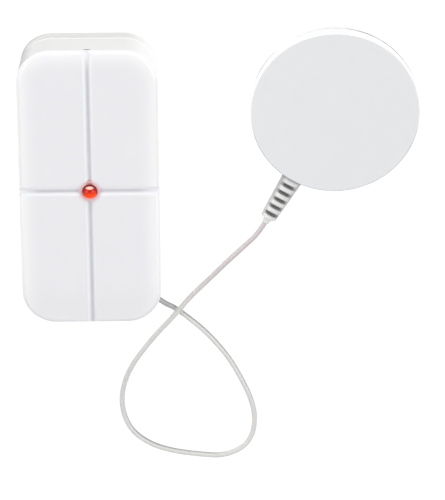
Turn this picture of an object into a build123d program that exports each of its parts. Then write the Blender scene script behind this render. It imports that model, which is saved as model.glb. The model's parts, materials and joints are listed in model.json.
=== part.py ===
from build123d import *

import os
from math import atan, cos, degrees, pi, radians, sin, sqrt, tan

# Glass break sensor: a wall transmitter in a small drafted housing, with a round
# shock sensor for the pane on a thin cable. It lies on its back, face up (+Z), with
# +Y to the top of the housing and +X towards the round sensor. The origin is the
# middle of the housing's back. All sizes are in millimetres.

# Housing
housing_width = 34.0
housing_length = 70.8
housing_depth = 15.0
corner_radius = 8.4
back_inset = 0.6
face_edge_radius = 1.0
pad_proud = 0.3
seam_rise = 4.1
seam_chamfer = 0.18
back_edge_chamfer = 0.4
floor_thickness = 2.0
wall_inset = 2.1
lip_inset = 1.3
lip_height = 2.0
lip_clearance = 0.15
face_thickness = 1.8
key_width = 2.6
key_clearance = 0.2
key_spacing = 38.0
pry_slot_width = 7.0
pry_slot_height = 1.0

# Cross-shaped groove in the face, and the place of its crossing
cross_x = 0.1
cross_y = -0.6
groove_half_width = 1.65
groove_core_half_width = 0.38
groove_shoulder_drop = 0.44
groove_depth = 0.8
groove_run_in = 0.02
lamp_ring_radius = 2.6
lamp_ring_chamfer = 0.25

# Wall fixing
fixing_hole_radius = 1.7
fixing_end_gap = 3.8
pad_width = 26.0
pad_length = 46.0
pad_corner_radius = 4.0
pad_thickness = 1.0

# Circuit board and its supports
board_thickness = 1.2
board_stand_off = 2.0
board_side_gap = 0.9
board_low_gap = 8.8
board_high_gap = 7.3
board_battery_gap = 0.85
board_contact_gap = 1.4
board_corner_radius = 1.0
boss_radius = 2.2
board_screw_radius = 1.0
board_screw_clearance = 0.1
board_screw_head_radius = 1.9
board_screw_head_height = 1.2
screw_head_chamfer = 0.4
boss_edge_gap = 2.6
rest_low_rise = 15.3
rest_lamp_drop = 6.0

# Battery and its contacts
battery_length = 27.6
battery_nub_radius = 2.1
battery_nub_height = 0.9
battery_edge_chamfer = 0.4
battery_side_gap = 0.85
battery_low_y = -2.5
battery_floor_gap = 0.3
battery_face_gap = 0.6
cradle_thickness = 1.4
cradle_height = 4.2
cradle_clearance = 0.12
cradle_inset_y = 5.0
contact_thickness = 0.3
contact_width = 8.0
contact_height = 8.8
contact_guide_width = 1.6
contact_guide_length = 2.0
contact_guide_height = 3.6
contact_guide_clearance = 0.1
leaf_reach = 2.6
leaf_crown = 0.7
leaf_tip_share = 0.6

# Red indicator lamp on its spacer
lamp_radius = 1.7
lamp_flange_radius = 2.1
lamp_flange_height = 1.0
lamp_length = 5.6
lamp_proud = 1.5
lamp_hole_clearance = 0.15
lamp_collar_wall = 1.2
lamp_collar_height = 0.9
lead_radius = 0.25
lead_pitch = 2.54
lead_clearance = 0.05
spacer_radius = 2.0

# Tamper switch
tamper_x = 2.4
tamper_high_drop = 5.4
tamper_body_size = 6.0
tamper_body_height = 3.6
tamper_bore_depth = 2.2
tamper_stem_radius = 1.3
tamper_stem_height = 4.0
tamper_rib_radius = 2.2
stem_clearance = 0.1
stem_edge_chamfer = 0.3
stem_floor_gap = 0.1
rib_gap = 0.05

# Learn button
learn_x = -4.6
learn_low_rise = 3.7
learn_body_size = 6.0
learn_body_height = 3.4
learn_bore_depth = 0.9
learn_stem_radius = 1.75
learn_stem_height = 2.0
learn_travel = 0.25
learn_floor_spare = 0.1

# Sensitivity trimmer
trimmer_edge_gap = 3.6
trimmer_low_rise = 11.5
trimmer_body_size = 6.4
trimmer_body_height = 3.2
trimmer_rotor_radius = 2.2
trimmer_rotor_height = 1.7
trimmer_bore_depth = 1.3
trimmer_rotor_clearance = 0.05
trimmer_slot_width = 0.7
trimmer_slot_depth = 0.6

# Parts soldered to the board
chips_low_rise = 11.3
controller_x = -6.0
controller_length = 9.9
controller_width = 3.9
controller_pins = 8
amplifier_x = 3.0
amplifier_length = 4.9
amplifier_width = 3.9
amplifier_pins = 4
chip_height = 1.5
chip_stand_off = 0.15
chip_edge_chamfer = 0.2
pin_pitch = 1.27
pin_width = 0.42
pin_thickness = 0.2
pin_reach = 1.1
pin_foot = 0.55
shield_x = 5.6
shield_y = 8.2
shield_width = 8.0
shield_length = 10.0
shield_height = 1.9
shield_chamfer = 0.4
capacitor_edge_gap = 4.4
capacitor_y = -0.4
capacitor_radius = 2.5
capacitor_height = 6.4
capacitor_groove_height = 1.3
capacitor_groove_depth = 0.25
small_part_length = 2.0
small_part_width = 1.25
small_part_height = 0.6
small_part_pitch_x = 2.8
small_part_pitch_y = 1.9
lamp_parts_x = 4.9
lamp_parts_y = -4.3
tamper_parts_x = 8.6
tamper_parts_drop = 7.2
lamp_parts_columns = 2
edge_parts_columns = 1
input_parts_rise = 3.1
antenna_edge_gap = 1.4
antenna_low_y = 4.0
antenna_high_drop = 8.4
antenna_rise = 4.0
antenna_wire_radius = 0.4
antenna_bend_radius = 1.4
wire_sides = 8
terminal_edge_gap = 7.2
terminal_low_rise = 2.9
terminal_width = 7.0
terminal_length = 5.0
terminal_height = 4.4
terminal_pitch = 3.0
terminal_wire_height = 1.7
terminal_screw_radius = 1.1
terminal_screw_depth = 0.7
terminal_slot_width = 0.45

# Cable and its clamp. Its round jacket is drawn with flat sides, as are the wires.
cable_radius = 0.65
cable_sides = 12
cable_exit_angle = -45.0
cable_exit_height = 3.3
cable_exit_stand_off = 0.28
cable_exit_lead = 3.55
cable_sensor_lead = 3.8
notch_clearance = 0.2
core_radius = 0.27
core_pitch = 0.62
core_bend_radius = 0.45
cable_strip_length = 6.6
clamp_distance = 4.2
clamp_length = 7.4
clamp_width = 2.6
clamp_thickness = 1.3
clamp_post_radius = 1.3
clamp_post_offset = 2.4
clamp_grip = 0.15
clamp_screw_radius = 0.8
clamp_screw_clearance = 0.05
clamp_screw_head_radius = 1.4
clamp_screw_head_height = 0.9

# Round sensor
sensor_x = 59.6
sensor_y = 15.4
sensor_radius = 20.5
sensor_depth = 5.5
sensor_seam_rise = 1.8
sensor_edge_chamfer = 0.2
sensor_seam_chamfer = 0.15
sensor_wall = 1.6
sensor_face_thickness = 1.3
sensor_pad_radius = 18.0
sensor_pad_thickness = 0.6
spigot_clearance = 0.1
spigot_wall = 1.1
spigot_height = 1.2
plate_radius = 13.5
plate_thickness = 0.3
ceramic_radius = 10.0
ceramic_thickness = 0.25

# Strain relief of the round sensor
boot_angle = -120.0
boot_end_radius = 32.7
boot_root_width = 5.3
boot_tip_width = 3.95
boot_root_height = 3.5
boot_tip_height = 3.0
boot_slots = 5
boot_slot_pitch = 2.1
boot_first_slot = 2.15
boot_slot_width = 0.8
boot_slot_flare = 0.2
boot_rail = 0.42
boot_core_cover = 0.15
boot_neck_length = 1.3
boot_neck_root = 1.15
boot_neck_tip = 0.9
boot_throat_width = 3.2
boot_throat_height = 2.2
boot_flange_width = 5.0
boot_flange_length = 1.0
boot_throat_clearance = 0.1
boot_bore_clearance = 0.05
boot_tip_round = 0.35
tail_length = 1.5
sensor_core_inset = 1.4

# The free cable between its two ends, round its loop and over its own first stretch
cable_bends = [
    (20.2, -38.0, 0.9),
    (23.6, -40.3, 0.65),
    (27.0, -43.4, 0.65),
    (30.4, -47.2, 0.65),
    (33.6, -52.3, 0.65),
    (36.1, -57.9, 0.65),
    (38.3, -63.7, 0.65),
    (39.4, -69.8, 0.65),
    (37.5, -75.9, 0.65),
    (31.9, -79.1, 0.65),
    (25.7, -78.8, 0.65),
    (19.6, -77.5, 0.65),
    (13.9, -75.2, 0.65),
    (9.0, -71.1, 0.65),
    (6.5, -65.4, 0.65),
    (6.6, -59.1, 0.65),
    (8.8, -53.3, 0.65),
    (12.3, -48.1, 0.65),
    (16.1, -43.3, 1.5),
    (19.8, -38.5, 3.1),
    (23.8, -33.9, 3.0),
    (28.5, -29.6, 2.4),
    (32.6, -25.5, 2.2),
    (37.1, -20.4, 2.5),
]

# Levels worked out from the sizes above
back_height = pad_proud
seam_height = back_height + seam_rise
face_height = back_height + housing_depth
floor_height = back_height + floor_thickness
lip_top = seam_height + lip_height
face_underside = face_height - face_thickness
board_height = floor_height + board_stand_off
board_top = board_height + board_thickness
battery_radius = (face_underside - floor_height - battery_floor_gap - battery_face_gap) / 2
battery_height = floor_height + battery_floor_gap + battery_radius
lamp_top = face_height + lamp_proud
lamp_base = lamp_top - lamp_length
sensor_seam_height = pad_proud + sensor_seam_rise
sensor_face_height = pad_proud + sensor_depth
draft_angle = degrees(atan(back_inset / housing_depth))

# Plan of the insides, from the walls of the housing
inner_half_width = housing_width / 2 - wall_inset
inner_half_length = housing_length / 2 - wall_inset
fixing_y = inner_half_length - fixing_end_gap
battery_x = battery_side_gap + battery_radius - inner_half_width
board_half_width = inner_half_width - board_side_gap
board_low_y = board_low_gap - inner_half_length
board_high_y = inner_half_length - board_high_gap
board_step_x = battery_x + battery_radius + board_battery_gap
board_step_y = battery_low_y - leaf_reach - board_contact_gap
boss_x = board_half_width - boss_edge_gap
board_screw_points = [
    (-boss_x, board_low_y + boss_edge_gap),
    (boss_x, board_high_y - boss_edge_gap),
]
board_rest_points = [(-boss_x, board_low_y + rest_low_rise), (boss_x, -rest_lamp_drop)]
tamper_y = board_high_y - tamper_high_drop
learn_y = board_low_y + learn_low_rise
trimmer_x = board_half_width - trimmer_edge_gap
trimmer_y = board_low_y + trimmer_low_rise
chips_y = board_low_y + chips_low_rise
capacitor_x = board_half_width - capacitor_edge_gap
antenna_x = board_half_width - antenna_edge_gap
antenna_high_y = board_high_y - antenna_high_drop
terminal_x = board_half_width - terminal_edge_gap
terminal_y = board_low_y + terminal_low_rise
input_parts_x = (learn_x + learn_body_size / 2 + terminal_x - terminal_width / 2) / 2
small_part_groups = [
    (lamp_parts_x, lamp_parts_y, lamp_parts_columns),
    (tamper_parts_x, board_high_y - tamper_parts_drop, edge_parts_columns),
    (input_parts_x, board_low_y + input_parts_rise, edge_parts_columns),
]

os.makedirs("parts", exist_ok=True)


def finish(builder: BuildPart, name: str) -> None:
    """Label a finished piece and write it."""
    builder.part.label = name
    export_step(builder.part, f"parts/{name}.step")


def outline(inset: float) -> None:
    """Draw the housing's outline in the sketch, drawn in from the face's edge."""
    RectangleRounded(
        housing_width - 2 * inset,
        housing_length - 2 * inset,
        corner_radius - inset,
    )


def drafted_block() -> None:
    """Add the whole drafted block of the housing, narrower at the back."""
    with BuildSketch(Plane.XY.offset(back_height)) as back:
        outline(back_inset)
    extrude(back.sketch, amount=housing_depth, taper=-draft_angle)


def upright(x: float, y: float, bottom: float, top: float, radius: float, mode=Mode.ADD) -> None:
    """Add or cut an upright cylinder between two levels."""
    with BuildSketch(Plane.XY.offset(bottom)) as foot:
        with Locations((x, y)):
            Circle(radius)
    extrude(foot.sketch, amount=top - bottom, mode=mode)


def slab(x: float, y: float, width: float, length: float, bottom: float, top: float, mode=Mode.ADD) -> None:
    """Add or cut a plain block, centred in plan, between two levels."""
    with BuildSketch(Plane.XY.offset(bottom)) as foot:
        with Locations((x, y)):
            Rectangle(width, length)
    extrude(foot.sketch, amount=top - bottom, mode=mode)


def pad_block(bottom: float, mode=Mode.ADD) -> None:
    """Add or cut the mounting pad's block, from a level up to the pad's inner face."""
    with BuildSketch(Plane.XY.offset(bottom)) as foot:
        RectangleRounded(pad_width, pad_length, pad_corner_radius)
    extrude(foot.sketch, amount=pad_thickness - bottom, mode=mode)


def groove(plane: Plane, reach: float) -> None:
    """Cut one arm of the face's cross: convex shoulders down to a narrow core."""
    brow = face_height + groove_run_in
    shoulder = face_height - groove_shoulder_drop
    with BuildSketch(plane) as section:
        with BuildLine():
            TangentArc(
                (-groove_half_width, brow),
                (-groove_core_half_width, shoulder),
                tangent=(1, 0),
            )
            ThreePointArc(
                (-groove_core_half_width, shoulder),
                (0, face_height - groove_depth),
                (groove_core_half_width, shoulder),
            )
            TangentArc(
                (groove_half_width, brow),
                (groove_core_half_width, shoulder),
                tangent=(-1, 0),
            )
            Line((-groove_half_width, brow), (groove_half_width, brow))
        make_face()
    extrude(section.sketch, amount=reach, both=True, mode=Mode.SUBTRACT)


# Directions of the cable where it leaves the housing and where it meets the sensor
cable_height = cable_exit_height
corner_centre = Vector(housing_width / 2 - corner_radius, corner_radius - housing_length / 2, cable_height)
wall_inset_at_exit = back_inset * (face_height - cable_height) / housing_depth
exit_direction = Vector(cos(radians(cable_exit_angle)), sin(radians(cable_exit_angle)), 0)
across_exit = Vector(-exit_direction.Y, exit_direction.X, 0)
cable_exit = corner_centre + exit_direction * (corner_radius - wall_inset_at_exit + cable_exit_stand_off)
exit_plane = Plane(origin=cable_exit, x_dir=across_exit, z_dir=exit_direction)
clamp_point = cable_exit - exit_direction * clamp_distance
strip_point = cable_exit - exit_direction * cable_strip_length
clamp_posts = [clamp_point + across_exit * side * clamp_post_offset for side in (-1, 1)]
clamp_seat = cable_height + cable_radius - clamp_grip

radial = Vector(cos(radians(boot_angle)), sin(radians(boot_angle)), 0)
across_radial = Vector(-radial.Y, radial.X, 0)
sensor_centre = Vector(sensor_x, sensor_y, cable_height)
boot_neck_end_radius = boot_end_radius + boot_neck_length
cable_entry = sensor_centre + radial * boot_neck_end_radius
cable_route = [
    cable_exit,
    cable_exit + exit_direction * cable_exit_lead,
    *(Vector(*bend) for bend in cable_bends),
    cable_entry + radial * cable_sensor_lead,
    cable_entry,
]


def radial_plane(distance: float) -> Plane:
    """Plane square to the strain relief at a distance from the sensor's centre."""
    return Plane(origin=sensor_centre + radial * distance, x_dir=across_radial, z_dir=radial)


def wire(points: list, radius: float, sides: int, bends) -> None:
    """Add a wire of flat-sided round section along rounded runs."""
    with BuildLine() as route:
        FilletPolyline(*points, radius=bends)
    start = Plane(origin=route.line @ 0, z_dir=route.line % 0)
    with BuildSketch(start) as section:
        RegularPolygon(radius, sides)
    sweep(section.sketch, path=route.line)


def sensor_plane(height: float) -> Plane:
    """Level plane over the sensor's centre, turned so that X runs out along the cable."""
    return Plane(origin=(sensor_x, sensor_y, height), x_dir=radial, z_dir=(0, 0, 1))


# Front cover: drafted shell with the crossed groove, the lamp's hole and its collar
key_width_gap = key_width + 2 * key_clearance
key_inner_x = housing_width / 2 - wall_inset
key_outer_x = housing_width / 2 - lip_inset + lip_clearance
key_x = (key_inner_x + key_outer_x) / 2
key_points = [(side * key_x, end * key_spacing / 2) for side in (-1, 1) for end in (-1, 1)]
lamp_hole_radius = lamp_radius + lamp_hole_clearance
tamper_top = board_top + tamper_body_height - tamper_bore_depth + stem_floor_gap + tamper_stem_height

with BuildPart() as front_cover:
    drafted_block()
    fillet(front_cover.edges().group_by(Axis.Z)[-1], face_edge_radius)
    split(bisect_by=Plane.XY.offset(seam_height), keep=Keep.TOP)
    chamfer(front_cover.edges().group_by(Axis.Z)[0], seam_chamfer)
    with BuildSketch(Plane.XY.offset(seam_height)):
        outline(wall_inset)
    extrude(amount=face_underside - seam_height, mode=Mode.SUBTRACT)
    with BuildSketch(Plane.XY.offset(seam_height)):
        outline(lip_inset - lip_clearance)
    extrude(amount=lip_height + lip_clearance, mode=Mode.SUBTRACT)
    with BuildSketch(Plane.XY.offset(seam_height + key_clearance)):
        with Locations(*key_points):
            Rectangle(key_outer_x - key_inner_x, key_width)
    extrude(amount=lip_height + lip_clearance - key_clearance)
    upright(
        cross_x,
        cross_y,
        face_underside - lamp_collar_height,
        face_underside,
        lamp_hole_radius + lamp_collar_wall,
    )
    upright(tamper_x, tamper_y, tamper_top + rib_gap, face_underside, tamper_rib_radius)
    groove(Plane(origin=(cross_x, 0, 0), x_dir=(1, 0, 0), z_dir=(0, -1, 0)), housing_length)
    groove(Plane(origin=(0, cross_y, 0), x_dir=(0, 1, 0), z_dir=(1, 0, 0)), housing_width)
    with BuildPart(mode=Mode.PRIVATE) as lamp_ring:
        upright(cross_x, cross_y, face_underside, face_height, lamp_ring_radius)
        chamfer(lamp_ring.edges().group_by(Axis.Z)[-1], lamp_ring_chamfer)
    add(lamp_ring)
    with Locations((cross_x, cross_y, face_height)):
        Hole(lamp_hole_radius)
finish(front_cover, "front_cover")

# Rear base: tray with the lip that the cover slides over, bosses, cradles and guides
battery_high_y = battery_low_y + battery_length
contact_low_y = battery_low_y - leaf_reach
contact_high_y = battery_high_y + battery_nub_height + contact_thickness / 2
cradle_points = [battery_low_y + cradle_inset_y, battery_high_y - cradle_inset_y]
guide_offset = contact_width / 2 + contact_guide_clearance
guide_points = [
    (battery_x + side * guide_offset, y)
    for side in (-1, 1)
    for y in (contact_low_y, contact_high_y)
]

with BuildPart() as rear_base:
    drafted_block()
    split(bisect_by=Plane.XY.offset(seam_height), keep=Keep.BOTTOM)
    chamfer(rear_base.edges().group_by(Axis.Z)[0], back_edge_chamfer)
    chamfer(rear_base.edges().group_by(Axis.Z)[-1], seam_chamfer)
    with BuildSketch(Plane.XY.offset(seam_height)):
        outline(lip_inset)
    extrude(amount=lip_height)
    chamfer(rear_base.edges().group_by(Axis.Z)[-1], lip_clearance)
    with BuildSketch(Plane.XY.offset(floor_height)):
        outline(wall_inset)
    extrude(amount=lip_top - floor_height, mode=Mode.SUBTRACT)
    for slot_x, slot_y in key_points:
        slab(
            slot_x,
            slot_y,
            2 * (key_outer_x - key_inner_x),
            key_width_gap,
            seam_height,
            lip_top,
            mode=Mode.SUBTRACT,
        )
    slab(
        0,
        -housing_length / 2,
        pry_slot_width,
        2 * (lip_inset - lip_clearance),
        seam_height - pry_slot_height,
        seam_height,
        mode=Mode.SUBTRACT,
    )
    for rest_x, rest_y in board_screw_points + board_rest_points:
        upright(rest_x, rest_y, floor_height, board_height, boss_radius)
    for screw_x, screw_y in board_screw_points:
        upright(
            screw_x,
            screw_y,
            floor_height,
            board_height,
            board_screw_radius,
            mode=Mode.SUBTRACT,
        )
    for cradle_y in cradle_points:
        slab(
            battery_x,
            cradle_y,
            2 * battery_radius,
            cradle_thickness,
            floor_height,
            floor_height + cradle_height,
        )
    with BuildSketch(Plane.XZ.offset(-battery_low_y)):
        with Locations((battery_x, battery_height)):
            Circle(battery_radius + cradle_clearance)
    extrude(amount=-battery_length, mode=Mode.SUBTRACT)
    for guide_x, guide_y in guide_points:
        slab(
            guide_x,
            guide_y,
            contact_guide_width,
            contact_guide_length,
            floor_height,
            floor_height + contact_guide_height,
        )
    for slot_y in (contact_low_y, contact_high_y):
        slab(
            battery_x,
            slot_y,
            contact_width + 2 * contact_guide_clearance,
            contact_thickness + 2 * contact_guide_clearance,
            floor_height,
            floor_height + contact_guide_height,
            mode=Mode.SUBTRACT,
        )
    for post in clamp_posts:
        upright(post.X, post.Y, floor_height, clamp_seat, clamp_post_radius)
    upright(
        clamp_posts[0].X,
        clamp_posts[0].Y,
        floor_height,
        clamp_seat,
        clamp_screw_radius + clamp_screw_clearance,
        mode=Mode.SUBTRACT,
    )
    with BuildSketch(exit_plane):
        Circle(cable_radius + notch_clearance)
        with Locations((0, (lip_top - cable_height) / 2)):
            Rectangle(2 * (cable_radius + notch_clearance), lip_top - cable_height)
    extrude(amount=-clamp_distance / 2, mode=Mode.SUBTRACT)
    pad_block(back_height, mode=Mode.SUBTRACT)
    with Locations((0, -fixing_y, floor_height), (0, fixing_y, floor_height)):
        Hole(fixing_hole_radius)
finish(rear_base, "rear_base")

# Adhesive pad: foam let into the back, a little proud of it
with BuildPart() as mounting_pad:
    pad_block(0)
finish(mounting_pad, "mounting_pad")

# Circuit board: L-shaped, cut away beside the battery
with BuildPart() as circuit_board:
    with BuildSketch(Plane.XY.offset(board_height)) as board_outline:
        with BuildLine():
            Polyline(
                (-board_half_width, board_low_y),
                (board_half_width, board_low_y),
                (board_half_width, board_high_y),
                (board_step_x, board_high_y),
                (board_step_x, board_step_y),
                (-board_half_width, board_step_y),
                close=True,
            )
        make_face()
        fillet(board_outline.vertices(), board_corner_radius)
        with Locations(*board_screw_points):
            Circle(board_screw_radius + board_screw_clearance, mode=Mode.SUBTRACT)
    extrude(amount=board_thickness)
finish(circuit_board, "circuit_board")

# Board screws: pan heads on the board, shanks down into the bosses
with BuildPart() as board_screws:
    for screw_x, screw_y in board_screw_points:
        upright(screw_x, screw_y, floor_height, board_top, board_screw_radius)
        upright(
            screw_x,
            screw_y,
            board_top,
            board_top + board_screw_head_height,
            board_screw_head_radius,
        )
    chamfer(board_screws.edges().group_by(Axis.Z)[-1], screw_head_chamfer)
finish(board_screws, "board_screws")

# Battery: a short cylindrical cell with its nub towards the top of the housing
with BuildPart() as battery:
    with BuildSketch(Plane.XZ.offset(-battery_low_y)):
        with Locations((battery_x, battery_height)):
            Circle(battery_radius)
    extrude(amount=-battery_length)
    chamfer(battery.edges().filter_by(GeomType.CIRCLE), battery_edge_chamfer)
    with BuildSketch(Plane.XZ.offset(-battery_high_y)):
        with Locations((battery_x, battery_height)):
            Circle(battery_nub_radius)
    extrude(amount=-battery_nub_height)
finish(battery, "battery")

# Battery contacts: a flat plate at the nub, and a plate with a sprung leaf
contact_top = floor_height + contact_height
contact_side = Plane.YZ.offset(battery_x - contact_width / 2)

with BuildPart() as positive_contact:
    with BuildSketch(contact_side):
        with Locations((contact_high_y, (floor_height + contact_top) / 2)):
            Rectangle(contact_thickness, contact_height)
    extrude(amount=contact_width)
    chamfer(
        positive_contact.edges().filter_by(Axis.Y).group_by(Axis.Z)[-1],
        contact_width / 4,
    )
finish(positive_contact, "positive_contact")

leaf_tip_y = battery_low_y - leaf_tip_share * contact_thickness
leaf_low = floor_height + contact_guide_height + contact_thickness
with BuildPart() as negative_contact:
    with BuildSketch(contact_side):
        with BuildLine():
            Polyline(
                (contact_low_y, floor_height),
                (contact_low_y, contact_top),
                (contact_low_y + leaf_crown, contact_top),
                (leaf_tip_y, battery_height),
                (leaf_tip_y - leaf_crown, leaf_low),
            )
        trace(line_width=contact_thickness)
    extrude(amount=contact_width)
finish(negative_contact, "negative_contact")


def chip(name: str, x: float, y: float, length: float, width: float, pins: int) -> None:
    """Make a moulded chip with a row of bent leads on each long side."""
    body_bottom = board_top + chip_stand_off
    lead_level = body_bottom + chip_height / 2
    with BuildPart() as package:
        slab(x, y, length, width, body_bottom, body_bottom + chip_height)
        chamfer(package.edges().group_by(Axis.Z)[-1], chip_edge_chamfer)
        for side in (-1, 1):
            edge = y + side * width / 2
            with BuildSketch(Plane.YZ.offset(x - pin_width / 2)):
                with BuildLine():
                    Polyline(
                        (edge, lead_level),
                        (edge + side * (pin_reach - pin_foot), lead_level),
                        (edge + side * (pin_reach - pin_foot), board_top + pin_thickness / 2),
                        (edge + side * pin_reach, board_top + pin_thickness / 2),
                    )
                trace(line_width=pin_thickness)
            leads = extrude(amount=pin_width, mode=Mode.PRIVATE)
            with GridLocations(pin_pitch, 1, pins, 1):
                add(leads)
    finish(package, name)


chip(
    "controller_chip",
    controller_x,
    chips_y,
    controller_length,
    controller_width,
    controller_pins,
)
chip(
    "amplifier_chip",
    amplifier_x,
    chips_y,
    amplifier_length,
    amplifier_width,
    amplifier_pins,
)

# Radio module: a folded metal can
with BuildPart() as radio_shield:
    slab(
        shield_x,
        shield_y,
        shield_width,
        shield_length,
        board_top,
        board_top + shield_height,
    )
    chamfer(radio_shield.edges().filter_by(Axis.Z), shield_chamfer)
    chamfer(radio_shield.edges().group_by(Axis.Z)[-1], shield_chamfer / 2)
finish(radio_shield, "radio_shield")

# Electrolytic capacitor: a can with its crimped waist
capacitor_top = board_top + capacitor_height
with BuildPart() as capacitor:
    upright(capacitor_x, capacitor_y, board_top, capacitor_top, capacitor_radius)
    chamfer(capacitor.edges().group_by(Axis.Z)[-1], capacitor_groove_depth)
    with BuildSketch(Plane.XY.offset(board_top + capacitor_groove_height)):
        with Locations((capacitor_x, capacitor_y)):
            Circle(capacitor_radius)
            Circle(capacitor_radius - capacitor_groove_depth, mode=Mode.SUBTRACT)
    extrude(amount=2 * capacitor_groove_depth, mode=Mode.SUBTRACT)
finish(capacitor, "capacitor")

# Small resistors and capacitors around the chips
with BuildPart() as small_parts:
    with BuildSketch(Plane.XY.offset(board_top)):
        for group_x, group_y, columns in small_part_groups:
            with Locations((group_x, group_y)):
                with GridLocations(small_part_pitch_x, small_part_pitch_y, columns, 2):
                    Rectangle(small_part_length, small_part_width)
    extrude(amount=small_part_height)
finish(small_parts, "small_parts")

# Antenna: a stiff wire hoop along the right edge of the board
antenna_top = board_top + antenna_rise
hoop_points = [
    (antenna_x, antenna_low_y, board_top),
    (antenna_x, antenna_low_y, antenna_top),
    (antenna_x, antenna_high_y, antenna_top),
    (antenna_x, antenna_high_y, board_top),
]
with BuildPart() as antenna:
    wire(hoop_points, antenna_wire_radius, wire_sides, antenna_bend_radius)
finish(antenna, "antenna")

# Indicator lamp: red moulded lens with its flange, on two leads through a spacer
with BuildPart() as indicator_lamp:
    upright(cross_x, cross_y, lamp_base, lamp_base + lamp_flange_height, lamp_flange_radius)
    upright(cross_x, cross_y, lamp_base, lamp_top - lamp_radius, lamp_radius)
    with Locations((cross_x, cross_y, lamp_top - lamp_radius)):
        Sphere(lamp_radius)
finish(indicator_lamp, "indicator_lamp")

lead_points = [(cross_x + side * lead_pitch / 2, cross_y) for side in (-1, 1)]
with BuildPart() as lamp_leads:
    for lead_x, lead_y in lead_points:
        upright(lead_x, lead_y, board_top, lamp_base, lead_radius)
finish(lamp_leads, "lamp_leads")

with BuildPart() as lamp_spacer:
    upright(cross_x, cross_y, board_top, lamp_base, spacer_radius)
    for lead_x, lead_y in lead_points:
        upright(
            lead_x,
            lead_y,
            board_top,
            lamp_base,
            lead_radius + lead_clearance,
            mode=Mode.SUBTRACT,
        )
finish(lamp_spacer, "lamp_spacer")

# Tamper switch: body with a bore, and the stem that the cover holds down
tamper_body_top = board_top + tamper_body_height
with BuildPart() as tamper_switch:
    slab(
        tamper_x,
        tamper_y,
        tamper_body_size,
        tamper_body_size,
        board_top,
        tamper_body_top,
    )
    upright(
        tamper_x,
        tamper_y,
        tamper_body_top - tamper_bore_depth,
        tamper_body_top,
        tamper_stem_radius + stem_clearance,
        mode=Mode.SUBTRACT,
    )
finish(tamper_switch, "tamper_switch")

with BuildPart() as tamper_stem:
    upright(
        tamper_x,
        tamper_y,
        tamper_top - tamper_stem_height,
        tamper_top,
        tamper_stem_radius,
    )
    chamfer(tamper_stem.edges().group_by(Axis.Z)[-1], stem_edge_chamfer)
finish(tamper_stem, "tamper_stem")

# Learn button: low tactile switch for pairing
learn_body_top = board_top + learn_body_height
learn_stem_bottom = learn_body_top - learn_bore_depth + learn_travel + learn_floor_spare
with BuildPart() as learn_switch:
    slab(
        learn_x,
        learn_y,
        learn_body_size,
        learn_body_size,
        board_top,
        learn_body_top,
    )
    upright(
        learn_x,
        learn_y,
        learn_body_top - learn_bore_depth,
        learn_body_top,
        learn_stem_radius + stem_clearance,
        mode=Mode.SUBTRACT,
    )
finish(learn_switch, "learn_switch")

with BuildPart() as learn_button:
    upright(
        learn_x,
        learn_y,
        learn_stem_bottom,
        learn_stem_bottom + learn_stem_height,
        learn_stem_radius,
    )
    chamfer(learn_button.edges().group_by(Axis.Z)[-1], stem_edge_chamfer)
finish(learn_button, "learn_button")

# Sensitivity trimmer: body, and the slotted rotor that a screwdriver turns
trimmer_body_top = board_top + trimmer_body_height
rotor_bottom = trimmer_body_top - trimmer_bore_depth
rotor_top = rotor_bottom + trimmer_rotor_height
with BuildPart() as trimmer_body:
    slab(
        trimmer_x,
        trimmer_y,
        trimmer_body_size,
        trimmer_body_size,
        board_top,
        trimmer_body_top,
    )
    upright(
        trimmer_x,
        trimmer_y,
        rotor_bottom,
        trimmer_body_top,
        trimmer_rotor_radius + trimmer_rotor_clearance,
        mode=Mode.SUBTRACT,
    )
finish(trimmer_body, "trimmer_body")

with BuildPart() as trimmer_rotor:
    upright(trimmer_x, trimmer_y, rotor_bottom, rotor_top, trimmer_rotor_radius)
    slab(
        trimmer_x,
        trimmer_y,
        2 * trimmer_rotor_radius,
        trimmer_slot_width,
        rotor_top - trimmer_slot_depth,
        rotor_top,
        mode=Mode.SUBTRACT,
    )
finish(trimmer_rotor, "trimmer_rotor")

# Cable terminal: two-way block with clamping screws under their slots
terminal_face_y = terminal_y - terminal_length / 2
terminal_top = board_top + terminal_height
terminal_ways = [(terminal_x + side * terminal_pitch / 2, terminal_y) for side in (-1, 1)]
with BuildPart() as cable_terminal:
    slab(
        terminal_x,
        terminal_y,
        terminal_width,
        terminal_length,
        board_top,
        terminal_top,
    )
    chamfer(
        cable_terminal.edges().filter_by(Axis.X).group_by(Axis.Z)[-1],
        terminal_screw_depth,
    )
    for way_x, way_y in terminal_ways:
        upright(
            way_x,
            way_y,
            terminal_top - terminal_screw_depth,
            terminal_top,
            terminal_screw_radius,
            mode=Mode.SUBTRACT,
        )
        slab(
            way_x,
            way_y,
            2 * terminal_screw_radius,
            terminal_slot_width,
            terminal_top - 2 * terminal_screw_depth,
            terminal_top - terminal_screw_depth,
            mode=Mode.SUBTRACT,
        )
finish(cable_terminal, "cable_terminal")

# Cable clamp: a bar across the cable, with the groove that grips it, and its screw
clamp_top = clamp_seat + clamp_thickness
clamp_plane = Plane(origin=(clamp_point.X, clamp_point.Y, clamp_seat), x_dir=across_exit, z_dir=(0, 0, 1))
with BuildPart() as cable_clamp:
    with BuildSketch(clamp_plane):
        SlotOverall(clamp_length, clamp_width)
        with Locations((-clamp_post_offset, 0)):
            Circle(clamp_screw_radius + clamp_screw_clearance, mode=Mode.SUBTRACT)
    extrude(amount=clamp_thickness)
    with BuildSketch(exit_plane):
        Circle(cable_radius)
    extrude(amount=-cable_strip_length, mode=Mode.SUBTRACT)
finish(cable_clamp, "cable_clamp")

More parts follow.
